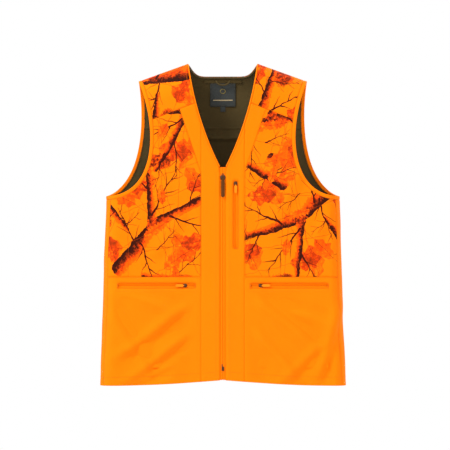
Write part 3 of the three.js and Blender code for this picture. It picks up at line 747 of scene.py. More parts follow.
def drape(side, x, z):
    """How far the cloth stands out from the body's plain surface, in soft folds."""
    near_shoulder = smooth(-0.02, -0.13, z)
    body = smooth(-0.10, -0.30, z)
    if side > 0:
        total = sum(fold(x, z, *crease) for crease in FRONT_FOLDS)
        total = total + (0.0030 * waves(x, z, 3, 5, 0.15) + 0.0011 * waves(x, z, 4, 6, 0.055)) * body
        calm = smooth(BAND_HALF + 0.004, BAND_HALF + 0.045, np.abs(x))
        zips = 1 - 0.97 * np.exp(-(((z + POCKET_ZIP_DROP) / 0.026) ** 2))
        total = total * calm * zips
    else:
        total = sum(fold(x, z, *crease) for crease in BACK_FOLDS)
        total = total + (0.0036 * waves(x, z, 8, 5, 0.17) + 0.0012 * waves(x, z, 9, 6, 0.06)) * body
        crest = 0.006 * np.exp(-((x / 0.16) ** 2)) * np.exp(-(((z + 0.22) / 0.12) ** 2))
        total = total + crest
    sides = 1 - 0.5 * smooth(0.24, 0.285, np.abs(x))
    hem = 0.0034 * np.sin(x * 46 + side) * smooth(-0.60, -0.75, z) * smooth(0.055, 0.10, np.abs(x))
    return (total * sides + hem) * near_shoulder


def garment(side, around, height, out):
    """The place of cloth points that lie out from the body's surface, folds included."""
    step = 0.0005
    across = surface(side, around + step, height) - surface(side, around - step, height)
    up = surface(side, around, height + step) - surface(side, around, height - step)
    normal = np.cross(across, up) * side
    normal /= np.linalg.norm(normal, axis=-1, keepdims=True)
    place = surface(side, around, height)
    lift = out + drape_at(side, around, height, place)
    return place + normal * lift[..., None]


def drape_at(side, around, height, place):
    """Folds of the front fade into folds of the back round the sides."""
    past = np.maximum(np.abs(around) - flat_half(height), 0) / SIDE_QUARTER
    share = smooth(0.5, 1.5, past)
    x, z = place[..., 0], place[..., 2]
    if side > 0:
        return drape(1, x, z) * (1 - share) + drape(-1, x, z) * share
    return drape(-1, x, z) * (1 - share) + drape(1, x, z) * share


# ---- curves: functions of a share from 0 to 1 ---------------------------------------------------
def line(a, b):
    a, b = np.array(a), np.array(b)
    return lambda t: between(a, b, t)


def part(curve, start, end):
    return lambda t: curve(between(start, end, t))


def bend(*points):
    a, b, c, d = (np.array(p) for p in points)
    return lambda t: a * (1 - t) ** 3 + 3 * b * t * (1 - t) ** 2 + 3 * c * t * t * (1 - t) + d * t**3


def chain(*curves):
    def curve(t):
        which = min(int(t * len(curves)), len(curves) - 1)
        return curves[which](t * len(curves) - which)

    return curve


def flipped(curve):
    return lambda t: curve(t) * np.array([-1, 1])


def backward(curve):
    return lambda t: curve(1 - t)


def share_at(curve, axis, value):
    falling = curve(1)[axis] < curve(0)[axis]
    start, end = 0.0, 1.0
    for _ in range(40):
        middle = (start + end) / 2
        if (curve(middle)[axis] > value) == falling:
            start = middle
        else:
            end = middle
    return start


def inset(curve, distance):
    """A curve moved into the cloth, which lies to its right."""

    def moved(t):
        before, after = curve(max(t - 1e-3, 0)), curve(min(t + 1e-3, 1))
        run = (after - before) / np.linalg.norm(after - before)
        place = curve(t) + np.array([run[1], -run[0]]) * distance
        return np.array([place[0], min(place[1], top_of(place[0]))])

    return moved


def even_fall(curve):
    return lambda t: curve(share_at(curve, 1, between(curve(0)[1], curve(1)[1], t)))


SHOULDER_END = NECK_HALF + SHOULDER_LENGTH
neck_view = bend(
    (NECK_HALF, 0),
    (NECK_HALF * 0.86, -V_DROP * 0.35),
    (V_HALF + (NECK_HALF - V_HALF) * 0.51, -V_DROP * 0.69),
    (V_HALF, -V_DROP),
)
neck_fold = share_at(neck_view, 0, BAND_HALF)
neck_yoke = share_at(neck_view, 1, -YOKE_NECK_DROP)


def neck_front(t):
    return on_cloth(*neck_view(t))


def arm_curve(in_top, in_low, down_top, down_low):
    fall = ARMHOLE_DROP - SHOULDER_FALL
    view = bend(
        (SHOULDER_END, -SHOULDER_FALL),
        (SHOULDER_END - in_top, -SHOULDER_FALL - fall * down_top),
        (SHOULDER_END - in_low, -SHOULDER_FALL - fall * down_low),
        (CHEST_HALF, -ARMHOLE_DROP),
    )
    return lambda t: on_cloth(*view(t))


arm_front = arm_curve(0.047, 0.042, 0.407, 0.996)
arm_back = arm_curve(0.017, -0.003, 0.463, 0.9)
arm_seam_front = inset(arm_front, BINDING_WIDTH)
arm_seam_back = inset(arm_back, BINDING_WIDTH)
seam_around = side_seam(-ARMHOLE_DROP - BINDING_WIDTH)
arm_side = share_at(arm_seam_front, 0, seam_around)
arm_side_back = share_at(arm_seam_back, 0, seam_around)
arm_yoke = share_at(arm_seam_front, 1, -YOKE_ARM_DROP)
arm_back_yoke = share_at(arm_seam_back, 1, -BACK_YOKE_DROP)
yoke_start = neck_front(neck_yoke)
yoke_end = arm_seam_front(arm_yoke)
yoke_seam = line(yoke_start, yoke_end)
band_share = (BAND_HALF + BAND_SPREAD - yoke_start[0]) / (yoke_end[0] - yoke_start[0])
band_top = yoke_seam(band_share)
band_corner = np.array([BAND_HALF, -BAND_CORNER_DROP])
side_hem = hem_line(HEM_HALF)


def down_side(z0, z1):
    return lambda t: np.array([side_seam(between(z0, z1, t)), between(z0, z1, t)])


def down_edge(z0, z1):
    return lambda t: np.array([side_edge(between(z0, z1, t)), between(z0, z1, t)])


def hem_between(x0, x1):
    return lambda t: np.array([between(x0, x1, t), hem_line(between(x0, x1, t))])


# ---- pattern pieces ---------------------------------------------------------------------------
class Patch:
    """A piece of the pattern between four curves: top and bottom run outward, the others down."""

    def __init__(self, top, bottom, inner, outer):
        self.edges = top, bottom, inner, outer

    def at(self, s, t):
        """Cloth points on a grid of shares s and t."""
        top, bottom, inner, outer = self.edges
        tops = np.array([top(v) for v in s])[:, None]
        bottoms = np.array([bottom(v) for v in s])[:, None]
        inners = np.array([inner(v) for v in t])[None]
        outers = np.array([outer(v) for v in t])[None]
        s, t = s[:, None, None], t[None, :, None]
        across = inners * (1 - s) + outers * s
        down = tops * (1 - t) + bottoms * t
        near = tops[:1] * (1 - t) + bottoms[:1] * t
        far = tops[-1:] * (1 - t) + bottoms[-1:] * t
        return across + down - (near * (1 - s) + far * s)

    def size(self):
        ends = np.array([0.0, 1.0])
        fine = np.linspace(0, 1, 41)
        rows, columns = self.at(fine, ends), self.at(ends, fine)
        measure = lambda p, axis: np.linalg.norm(np.diff(p, axis=axis), axis=-1).sum(axis=axis).max()
        return measure(rows, 0), measure(columns, 1)


def stations(length, step):
    """Shares along an edge, closer together near both seams."""
    close = np.array([0, 0.0009, 0.0020, 0.0036, 0.0060])
    close = close[close < length * 0.3]
    count = max(int((length - 2 * close[-1]) / step), 1)
    middle = np.linspace(close[-1], length - close[-1], count + 1)[1:-1]
    return np.concatenate([close, middle, (length - close)[::-1]]) / length


def edge_distance(grid):
    """How far each grid point is from the nearest edge of its piece."""
    steps = np.linalg.norm(np.diff(grid, axis=0), axis=-1)
    across = np.concatenate([np.zeros((1, grid.shape[1])), np.cumsum(steps, axis=0)])
    steps = np.linalg.norm(np.diff(grid, axis=1), axis=-1)
    down = np.concatenate([np.zeros((grid.shape[0], 1)), np.cumsum(steps, axis=1)], axis=1)
    sides = np.minimum(across, across[-1:] - across)
    return np.minimum(sides, np.minimum(down, down[:, -1:] - down))


def seam_profile(distance):
    """Cloth sinks into its seams and puffs a little beside them."""
    dip = 0.0011
    puff = 0.25 * dip * np.exp(-(((distance - 0.008) / 0.005) ** 2))
    return -dip * np.exp(-((distance / 0.0016) ** 2)) + puff


def pucker(grid, distance, amount):
    """Short wrinkles that run out from the seams."""
    ripple = waves(grid[..., 0], grid[..., 1], 21, 7, 0.015)
    return amount * ripple * np.exp(-((distance / 0.014) ** 2)) * smooth(0, 0.003, distance)


def new_object(name, points, faces, material):
    mesh = bpy.data.meshes.new(name)
    mesh.from_pydata([tuple(p) for p in points], [], faces)
    mesh.materials.append(material)
    mesh.shade_smooth()
    mesh.validate()
    piece = bpy.data.objects.new(name, mesh)
    bpy.context.collection.objects.link(piece)
    return piece


def slab_faces(columns, rows, keep=None):
    """Quads of a closed slab whose second layer's points follow the first's."""
    count = columns * rows
    at = lambda i, j: i * rows + j
    if keep is None:
        keep = np.ones((columns - 1, rows - 1), bool)
    faces = []
    for i, j in np.argwhere(keep):
        face = [at(i, j), at(i + 1, j), at(i + 1, j + 1), at(i, j + 1)]
        faces += [face[::-1], [v + count for v in face]]
    rims = {}
    for i, j in np.argwhere(keep):
        corners = [at(i, j), at(i + 1, j), at(i + 1, j + 1), at(i, j + 1)]
        for a, b in zip(corners, corners[1:] + corners[:1]):
            if (b, a) in rims:
                del rims[b, a]
            else:
                rims[a, b] = True
    faces += [[a, b, b + count, a + count] for a, b in rims]
    return faces


def open_slot(grid, distance, slot):
    """Move the grid's lines onto the sides of a slot and leave its faces out."""
    (x0, x1), (z0, z1) = slot
    x, z = np.abs(grid[..., 0]), grid[..., 1]
    row = np.argmin(np.abs(z[len(z) // 2] - (z0 + z1) / 2))
    left, right = (int(np.argmin(np.abs(x[:, row] - edge))) for edge in (x0, x1))
    column = (left + right) // 2
    top, bottom = (int(np.argmin(np.abs(z[column] - edge))) for edge in (z1, z0))
    sign = np.sign(grid[-1, 0, 0])
    grid[left, top : bottom + 1, 0] = sign * x0
    grid[right, top : bottom + 1, 0] = sign * x1
    grid[left : right + 1, top, 1] = z1
    grid[left : right + 1, bottom, 1] = z0
    keep = np.ones((grid.shape[0] - 1, grid.shape[1] - 1), bool)
    keep[left:right, top:bottom] = False
    x, z = np.abs(grid[..., 0]), grid[..., 1]
    beside = np.maximum(np.maximum(x0 - x, x - x1), 0)
    past = np.maximum(np.maximum(z0 - z, z - z1), 0)
    return keep, np.minimum(distance, np.hypot(beside, past))


def cloth(name, side, patch, material, nodes, body="shell", depth=0.0, thick=CLOTH, step=0.006,
          ripple=0.0004, mirror=False, slot=None, flat_size=None, out=None):
    width, length = patch.size()
    s, t = stations(width, step), stations(length, step)
    grid = patch.at(s, t)
    if mirror:
        grid = grid * np.array([-1, 1])
    distance = edge_distance(grid)
    keep = None
    if slot is not None:
        keep, distance = open_slot(grid, distance, slot)
    rise = -depth + seam_profile(distance) + pucker(grid, distance, ripple)
    if out is not None:
        rise = rise + out(grid)
    outer = garment(side, grid[..., 0], grid[..., 1], rise)
    inner = garment(side, grid[..., 0], grid[..., 1], rise - thick)
    faces = slab_faces(len(s), len(t), keep)
    points = np.concatenate([outer.reshape(-1, 3), inner.reshape(-1, 3)])
    if (side > 0) == mirror:
        faces = [face[::-1] for face in faces]
    piece = new_object(name, points, faces, material)
    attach(piece, body)
    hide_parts(*nodes)
    area = sheet_area(outer)
    width, length = flat_size or (width * 1.06, length * 1.06)
    min(area, width * length)


def sheet_area(points):
    a, b = points[1:, 1:] - points[:-1, :-1], points[1:, :-1] - points[:-1, 1:]
    return float(np.linalg.norm(np.cross(a, b), axis=-1).sum() / 2)


# ---- materials --------------------------------------------------------------------------------
BLAZE_CLOTH = blaze_cloth()
FACING_CLOTH = blaze_cloth("facing_cloth", colour(240, 116, 10), colour(224, 100, 8))
LINING_CLOTH = lining_cloth()
ORANGE_THREAD = thread("orange_thread", colour(240, 118, 6))
OLIVE_THREAD = thread("olive_thread", colour(78, 70, 46))
GOLD_THREAD = thread("gold_thread", colour(150, 130, 66))
BRONZE = bronze_metal()
BROWN_RUBBER = pull_rubber("brown_rubber", colour(98, 54, 12), colour(78, 38, 8))
ORANGE_RUBBER = pull_rubber("orange_rubber", colour(255, 140, 2), colour(246, 118, 2))
YOKE_PRINTS, CHEST_PRINTS = front_prints()
BACK_PRINT = back_print()
FLOOR_PAINT = floor_paint()
floor.data.materials.append(FLOOR_PAINT)


def label_cloth():
    shader = Shader("label_cloth", Roughness=0.62, Sheen_Weight=0.15)
    height = Field(shader, shader.node("ShaderNodeSeparateXYZ", {}, [shader.place]).outputs[2])
    ribs = (height * 9000).math("SINE")
    grain = shader.cloud(700, 2.0)
    share = (ribs * 0.2 + grain * 0.8).within()
    shader.set("Base Color", shader.mix(share, rgba(colour(22, 28, 26)), rgba(colour(40, 46, 42))))
    shader.bump(share, 0.4, 0.0003)
    return shader.material


LABEL_CLOTH = label_cloth()
PALE_THREAD = thread("pale_thread", colour(190, 170, 130))
TAPE_CLOTH = blaze_cloth("tape_cloth", colour(255, 123, 0), colour(250, 108, 2))


# ---- the shell --------------------------------------------------------------------------------
def name_for(mirror, name):
    return ("right_" if mirror else "left_") + name


def shoulder_seam(arm):
    return line((NECK_HALF, top_of(NECK_HALF)), arm(0))


def make_yokes():
    patch = Patch(shoulder_seam(arm_seam_front), yoke_seam, part(neck_front, 0, neck_yoke),
                  even_fall(part(arm_seam_front, 0, arm_yoke)))
    for mirror in (False, True):
        cloth(name_for(mirror, "yoke_cloth"), 1, patch, YOKE_PRINTS[mirror], [name_for(mirror, "yoke")],
              mirror=mirror)


def make_chest_panels():
    middle = (BAND_HALF, -(BAND_CORNER_DROP + POCKET_SEAM_DROP) / 2)
    end = (BAND_HALF, -POCKET_SEAM_DROP)
    inner = chain(line(band_top, band_corner), line(band_corner, middle), line(middle, end))
    start = arm_seam_front(arm_side)
    arm_middle = (arm_yoke + arm_side) / 2
    arm = [part(arm_seam_front, arm_yoke, arm_middle), part(arm_seam_front, arm_middle, arm_side)]
    outer = chain(*arm, down_side(start[1], end[1]))
    bottom = line(end, (side_seam(end[1]), end[1]))
    patch = Patch(part(yoke_seam, band_share, 1), bottom, inner, outer)
    for mirror in (False, True):
        cloth(name_for(mirror, "chest_cloth"), 1, patch, CHEST_PRINTS[mirror],
              [name_for(mirror, "chest_panel")], mirror=mirror)


def make_neck_bands():
    fold_top = neck_front(neck_fold)
    inner = chain(part(neck_front, neck_yoke, neck_fold), line(fold_top, band_corner))
    outer = line(band_top, band_corner + (0.0004, 0))
    patch = Patch(part(yoke_seam, 0, band_share), line(band_corner, outer(1)), inner, outer)
    for mirror in (False, True):
        cloth(name_for(mirror, "neck_band_cloth"), 1, patch, BLAZE_CLOTH, [name_for(mirror, "neck_band")],
              mirror=mirror)


class Leaf:
    """The front band beside the zip: rows fan out under the V and run level below it."""

    level = -V_DROP - 0.020
    share = 0.16

    def __init__(self):
        self.start = min(share_at(neck_view, 0, ZIP_GAP), 1)
        self.top = lambda s: neck_front(between(self.start, neck_fold, s))

    def at(self, s, t):
        tops = np.array([self.top(v) for v in s])[:, None]
        near_top = np.clip(t / self.share, 0, 1)[None]
        below = np.clip((t - self.share) / (1 - self.share), 0, 1)[None]
        x = between(tops[..., 0], between(ZIP_GAP, BAND_HALF, s)[:, None], near_top)
        bottom = hem_line(x)
        fanned = between(tops[..., 1], self.level, near_top)
        z = np.where(below > 0, between(self.level, bottom, below), fanned)
        return np.stack([x, z], axis=-1)

    def size(self):
        return BAND_HALF - ZIP_GAP, BODY_LENGTH - V_DROP + 0.06


def make_bands():
    leaf = Leaf()
    slot = ((CHEST_ZIP_X - SLOT_HALF, CHEST_ZIP_X + SLOT_HALF), (CHEST_ZIP[1], CHEST_ZIP[0]))
    cloth("left_band_cloth", 1, leaf, BLAZE_CLOTH, ["left_placket"], body="left_front", slot=slot,
          flat_size=(0.06, 0.63))
    cloth("right_band_cloth", 1, leaf, BLAZE_CLOTH, ["right_placket"], body="right_front", mirror=True,
          flat_size=(0.06, 0.63))
    for mirror in (False, True):
        cloth(name_for(mirror, "facing_cloth"), 1, leaf, FACING_CLOTH, [name_for(mirror, "facing")],
              body=name_for(mirror, "front"), mirror=mirror, depth=LINING_DEPTH, thick=LINING,
              flat_size=(0.06, 0.63))


def make_pocket_fronts():
    z = -POCKET_SEAM_DROP
    inner = line((BAND_HALF, z), (BAND_HALF, hem_line(BAND_HALF)))
    top = line((BAND_HALF, z), (side_seam(z), z))
    patch = Patch(top, hem_between(BAND_HALF, side_seam(side_hem)), inner, down_side(z, side_hem))
    slot = (POCKET_ZIP, (-POCKET_ZIP_DROP - SLOT_HALF, -POCKET_ZIP_DROP + SLOT_HALF))
    for mirror in (False, True):
        cloth(name_for(mirror, "pocket_cloth"), 1, patch, BLAZE_CLOTH, [name_for(mirror, "pocket_front")],
              mirror=mirror, slot=slot, step=0.005)


def behind(curve):
    """The same curve on the back, counted on round the side from the front."""

    def curve_behind(t):
        around, height = curve(t)
        return np.array([2 * side_edge(height) - around, height])

    return curve_behind


def make_side_panels():
    outer = behind(down_side(arm_seam_back(arm_side_back)[1], side_hem))
    top = chain(part(arm_seam_front, arm_side, 1), behind(part(arm_seam_back, 1, arm_side_back)))
    patch = Patch(top, line((side_seam(side_hem), side_hem), outer(1)),
                  down_side(arm_seam_front(arm_side)[1], side_hem), outer)
    for mirror in (False, True):
        cloth(name_for(mirror, "side_cloth"), 1, patch, BLAZE_CLOTH, [name_for(mirror, "side_panel")],
              mirror=mirror)


back_yoke_end = even_fall(part(arm_seam_back, 0, arm_back_yoke))(1)


def back_top(arm):
    high_end = top_of(NECK_HALF)
    low_end = on_cloth(0, -BACK_NECK_DROP)[1]
    level = NECK_HALF * 0.4
    corner = bend((level, low_end), (NECK_HALF * 0.7, low_end), (NECK_HALF * 0.85, low_end),
                  (NECK_HALF, high_end))
    shoulder = shoulder_seam(arm)
    right = [flipped(backward(curve)) for curve in (shoulder, corner)]
    return chain(*right, line((-level, low_end), (level, low_end)), corner, shoulder)


def back_yoke_patch():
    outer = even_fall(part(arm_seam_back, 0, arm_back_yoke))
    return Patch(back_top(arm_seam_back), line(flipped(outer)(1), outer(1)), flipped(outer), outer)


def make_back():
    cloth("back_yoke_cloth", -1, back_yoke_patch(), BACK_PRINT, ["back_yoke"])
    start = arm_seam_back(arm_side_back)
    outer = chain(part(arm_seam_back, arm_back_yoke, arm_side_back), down_side(start[1], side_hem))
    hem = hem_between(-side_seam(side_hem), side_seam(side_hem))
    patch = Patch(line(back_yoke_end * (-1, 1), back_yoke_end), hem, flipped(outer), outer)
    cloth("back_cloth", -1, patch, BLAZE_CLOTH, ["back_panel"])


# ---- the inside -------------------------------------------------------------------------------
def lining_tuck(grid):
    """The lining sags in one soft fold just under its yoke."""
    x, z = grid[..., 0], grid[..., 1]
    middle = -BACK_YOKE_DROP - 0.020 - 0.004 * np.cos(x * 30)
    fade = 1 - smooth(0.05, 0.12, np.abs(x))
    return -0.0085 * fade * np.exp(-(((z - middle) / 0.0040) ** 2))


def make_linings():
    lowest = side_hem + HEM_WIDTH
    fold_top = neck_front(neck_fold)
    middle = (BAND_HALF, (fold_top[1] + lowest) / 2)
    inner = chain(part(neck_front, 0, neck_fold), line(fold_top, middle), line(middle, (BAND_HALF, lowest)))
    arm = [part(arm_seam_front, 0, 0.5), part(arm_seam_front, 0.5, 1)]
    outer = chain(*arm, down_edge(arm[1](1)[1], lowest))
    patch = Patch(shoulder_seam(arm_seam_front), line((BAND_HALF, lowest), outer(1)), inner, outer)
    for mirror in (False, True):
        cloth(name_for(mirror, "lining_cloth"), 1, patch, LINING_CLOTH, [name_for(mirror, "front_lining")],
              mirror=mirror, depth=LINING_DEPTH, thick=LINING, ripple=0.0008)
    cloth("back_lining_yoke_cloth", -1, back_yoke_patch(), LINING_CLOTH, ["back_lining_yoke"],
          depth=LINING_DEPTH, thick=LINING, ripple=0.0008)
    side = chain(part(arm_seam_back, arm_back_yoke, 1), down_edge(arm_seam_back(1)[1], lowest))
    patch = Patch(line(back_yoke_end * (-1, 1), back_yoke_end), line(flipped(side)(1), side(1)), flipped(side), side)
    cloth("back_lining_cloth", -1, patch, LINING_CLOTH, ["back_lining"], depth=LINING_DEPTH, thick=LINING,
          ripple=0.0008, out=lining_tuck, step=0.004)


def make_hem_facings():
    edge = side_seam(side_hem)

    def strip(x0, x1):
        bottom = hem_between(x0, x1)
        top = lambda t: bottom(t) + (0, HEM_WIDTH)
        return Patch(top, bottom, line(top(0), bottom(0)), line(top(1), bottom(1)))

    for mirror in (False, True):
        cloth(name_for(mirror, "hem_facing_cloth"), 1, strip(BAND_HALF, edge), FACING_CLOTH,
              [name_for(mirror, "hem_facing")], mirror=mirror, depth=0.0031, thick=LINING)
    cloth("back_hem_facing_cloth", -1, strip(-edge, edge), FACING_CLOTH, ["back_hem_facing"], depth=0.0031,
          thick=LINING)


# ---- rolled edges: bindings, neck edge, hem ---------------------------------------------------
def rolled(name, places, section, cover, nodes=(), body="shell", closed=False):
    """A strip of cloth rolled round an edge. Each place is (side, outer edge, inner edge) on the cloth;
    section gives, for each corner of the roll, the share from outer to inner edge and the depth."""
    rings = []
    for side, edge, inner in places:
        share, depth = section[:, 0], section[:, 1]
        points = between(np.array(edge), np.array(inner), share[:, None])
        rings.append(garment(side, points[:, 0], points[:, 1], -depth))
    count, round_count = len(rings), len(section)
    points = np.concatenate(rings)
    faces = []
    for i in range(count if closed else count - 1):
        for k in range(round_count):
            this, following, beside = i * round_count, (i + 1) % count * round_count, (k + 1) % round_count
            faces.append([this + k, this + beside, following + beside, following + k])
    if not closed:
        last = (count - 1) * round_count
        faces += [list(range(round_count)), [last + k for k in range(round_count)][::-1]]
    piece = new_object(name, points, faces, cover)
    face_out(piece)
    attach(piece, body)
    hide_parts(*nodes)


def face_out(piece):
    shape = bmesh.new()
    shape.from_mesh(piece.data)
    bmesh.ops.recalc_face_normals(shape, faces=shape.faces)
    shape.to_mesh(piece.data)
    shape.free()


def roll_section(deep, bulge=0.0007):
    """A flattened tube: round at the edge, with both its long sides a little proud in the middle."""
    turn = np.linspace(0, math.pi, 7)
    front = np.stack([1 - np.sin(turn / 2), -bulge * np.sin(turn)], axis=-1)
    back = np.stack([np.sin(turn / 2), deep + bulge * 0.5 * np.sin(turn)], axis=-1)
    return np.concatenate([front, back])


def make_armhole_bindings():
    steps = 90
    wide = BINDING_WIDTH + 0.0011  # covers the raw edges of the shell and the lining
    around_arm = []
    for i in range(steps + 1):
        around_arm.append((1, arm_front(i / steps), inset(arm_front, wide)(i / steps)))
    for i in range(steps - 1, 0, -1):
        around_arm.append((-1, arm_back(i / steps), inset(arm_back, wide)(i / steps)))
    for mirror in (False, True):
        sign = np.array([-1 if mirror else 1, 1])
        track = [(side, a * sign, b * sign) for side, a, b in around_arm]
        rolled(name_for(mirror, "armhole_binding_cloth"), track, roll_section(0.0078), BLAZE_CLOTH,
               [name_for(mirror, "armhole_binding")], closed=True)


def along_curve(side, curve, width, steps=60, mirror=False):
    """Stations along a curve whose cloth lies to its right."""
    sign = np.array([-1 if mirror else 1, 1])
    inner = inset(curve, width)
    shares = np.linspace(0, 1, steps + 1)
    return [(side, curve(t) * sign, inner(t) * sign) for t in shares]


def make_neck_edges():
    """The turned edge of the V, of the front bands and of the back neck."""
    leaf = Leaf()
    for mirror in (False, True):
        band = along_curve(1, backward(part(neck_front, 0, neck_fold)), -0.0030, 60, mirror)
        rolled(name_for(mirror, "neck_edge"), band, roll_section(0.0074), BLAZE_CLOTH)
        front = along_curve(1, backward(part(neck_front, neck_fold, leaf.start)), -0.0030, 50, mirror)
        rolled(name_for(mirror, "front_edge"), front, roll_section(0.0074), BLAZE_CLOTH,
               body=name_for(mirror, "front"))
    top = back_top(arm_seam_back)
    curve = part(top, 0.2, 0.8)
    rolled("back_neck_edge", along_curve(-1, curve, 0.0026, 70), roll_section(0.0074), LINING_CLOTH)


def make_hem_edges():
    """The hem turns under: shell, side panels and back share one rolled edge; each front has its own."""

    def edge(side, x0, x1, steps):
        xs = np.linspace(x0, x1, steps + 1)
        return [(side, (x, hem_line(x) + 0.0004), (x, hem_line(x) + 0.0034)) for x in xs]

    for mirror in (False, True):
        sign = -1 if mirror else 1
        front = edge(1, sign * (ZIP_GAP + 0.0004), sign * (BAND_HALF - 0.0012), 12)
        rolled(name_for(mirror, "front_hem_edge"), front, roll_section(0.0070, 0.0004), BLAZE_CLOTH,
               body=name_for(mirror, "front"))
        shell = edge(1, sign * (BAND_HALF + 0.0016), sign * side_edge(side_hem), 50)
        shell += edge(-1, sign * side_edge(side_hem), 0, 60)[1:]
        rolled(name_for(mirror, "hem_edge"), shell, roll_section(0.0040, 0.0004), BLAZE_CLOTH)


# ---- stitching --------------------------------------------------------------------------------
STITCH = 0.0030
STITCH_GAP = 0.0009


def stitch_mesh(runs, thick=0.00042):
    """Every stitch of these runs as a short, slightly arched thread."""
    points, faces = [], []
    ring = np.linspace(0, 2 * math.pi, 7)[:-1]
    for run in runs:
        run = np.array(run)
        lengths = np.concatenate([[0], np.cumsum(np.linalg.norm(np.diff(run, axis=0), axis=1))])
        count = int(lengths[-1] / (STITCH + STITCH_GAP))
        for i in range(count):
            start = i * (STITCH + STITCH_GAP)
            spots = start + STITCH * np.array([0.0, 0.12, 0.5, 0.88, 1.0])
            middle = np.stack([np.interp(spots, lengths, run[:, k]) for k in range(3)], axis=-1)
            along = middle[-1] - middle[0]
            along /= np.linalg.norm(along)
            aside = np.cross(along, (0.3, 1, 0.2))
            aside /= np.linalg.norm(aside)
            above = np.cross(aside, along)
            first = len(points)
            for spot, width in zip(middle, (0.35, 0.85, 1.0, 0.85, 0.35)):
                for angle in ring:
                    out = math.cos(angle) * aside + math.sin(angle) * above
                    points.append(spot + thick * width * out)
            for k in range(4):
                for m in range(6):
                    a, b = first + k * 6 + m, first + k * 6 + (m + 1) % 6
                    faces.append([a, b, b + 6, a + 6])
            faces.append([first + m for m in range(6)][::-1])
            faces.append([first + 24 + m for m in range(6)])
    return points, faces


def seam_run(side, curve, shift, steps, sign=1, start=0.0, end=1.0):
    """Points of a line of stitches that lie on the cloth, a little to the right of a seam."""
    track = inset(curve, shift)
    spots = np.array([track(t) for t in np.linspace(start, end, steps)]) * (sign, 1)
    return garment(side, spots[:, 0], spots[:, 1], np.full(len(spots), 0.00005))


def make_stitching():
    """Rows of stitches beside every seam, hem and zip: one piece for the shell, one for each front."""
    shell, lines = [], {False: [], True: []}
    z_pocket = -POCKET_SEAM_DROP
    slot_top = -POCKET_ZIP_DROP + SLOT_HALF
    slot_low = -POCKET_ZIP_DROP - SLOT_HALF
    for mirror in (False, True):
        sign = -1 if mirror else 1
        band = chain(line(band_top, band_corner), line(band_corner, (BAND_HALF, z_pocket)))
        shell.append(seam_run(1, band, -0.0016, 150, sign))
        shell.append(seam_run(1, line(yoke_start, yoke_end), -0.0016, 80, sign))
        pocket_seam = line((BAND_HALF, z_pocket), (side_seam(z_pocket), z_pocket))
        shell.append(seam_run(1, pocket_seam, 0.0016, 90, sign))
        down = down_side(arm_seam_front(arm_side)[1], side_hem)
        shell.append(seam_run(1, down, 0.0018, 150, sign, start=0.01))
        back_down = down_side(arm_seam_back(arm_side_back)[1], side_hem)
        shell.append(seam_run(-1, back_down, 0.0018, 150, sign, start=0.01))
        shell.append(seam_run(1, arm_front, BINDING_WIDTH + 0.0016, 150, sign, start=0.01, end=0.99))
        shell.append(seam_run(-1, arm_back, BINDING_WIDTH + 0.0016, 150, sign, start=0.01, end=0.99))
        shell.append(seam_run(1, shoulder_seam(arm_seam_front), 0.0022, 60, sign))
        shell.append(seam_run(-1, shoulder_seam(arm_seam_back), 0.0022, 60, sign))
        hem = hem_between(BAND_HALF + 0.002, side_edge(side_hem))
        shell.append(seam_run(1, hem, -0.0200, 140, sign))
        neck = part(neck_front, 0, neck_fold)
        shell.append(seam_run(1, neck, -0.0060, 70, sign, start=0.02))
        for z, reach in ((slot_top + 0.0018, 0.0), (slot_low - 0.0018, 0.0), (slot_low - 0.0085, 0.004)):
            x0, x1 = POCKET_ZIP[0] - 0.003 - reach, POCKET_ZIP[1] + 0.003 + reach
            shell.append(seam_run(1, line((x0, z), (x1, z)), 0.0, 80, sign))
        for x in (POCKET_ZIP[1] + 0.003, POCKET_ZIP[0] - 0.003):
            ends = (x, slot_top + 0.0018), (x, slot_low - 0.0085)
            shell.append(seam_run(1, line(*ends), 0, 8, sign))
        front = lines[mirror]
        ends = (0.0165, -V_DROP - 0.012), (0.0165, -BODY_LENGTH + HEM_RISE + 0.004)
        front.append(seam_run(1, line(*ends), 0, 160, sign))
        front.append(seam_run(1, part(neck_front, neck_fold, 0.99), -0.0060, 60, sign))
        front.append(seam_run(1, hem_between(ZIP_GAP + 0.003, BAND_HALF - 0.002), -0.0200, 20, sign))
    shell.append(seam_run(-1, hem_between(-side_edge(side_hem), side_edge(side_hem)), -0.0200, 260))
    shell.append(seam_run(-1, line(back_yoke_end * (-1, 1), back_yoke_end), 0.0018, 160))
    for x in (CHEST_ZIP_X - SLOT_HALF - 0.0018, CHEST_ZIP_X + SLOT_HALF + 0.0018):
        ends = (x, CHEST_ZIP[0] + 0.003), (x, CHEST_ZIP[1] - 0.003)
        lines[False].append(seam_run(1, line(*ends), 0, 70))
    points, faces = stitch_mesh(shell)
    sew("shell_stitching", points, faces, "shell")
    for mirror in (False, True):
        points, faces = stitch_mesh(lines[mirror])
        sew(name_for(mirror, "front_stitching"), points, faces, name_for(mirror, "front"))


def sew(name, points, faces, body, tone=ORANGE_THREAD):
    piece = new_object(name, points, faces, tone)
    face_out(piece)
    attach(piece, body)


# ---- zips -------------------------------------------------------------------------------------
def strip_mesh(sections):
    """Skin between rings of the same number of points, with both ends closed."""
    sections = np.array(sections)
    count, around = sections.shape[:2]
    points = sections.reshape(-1, 3)
    faces = []
    for i in range(count - 1):
        for k in range(around):
            a, b = i * around + k, i * around + (k + 1) % around
            faces.append([a, b, b + around, a + around])
    faces.append(list(range(around))[::-1])
    faces.append([(count - 1) * around + k for k in range(around)])
    return points, faces


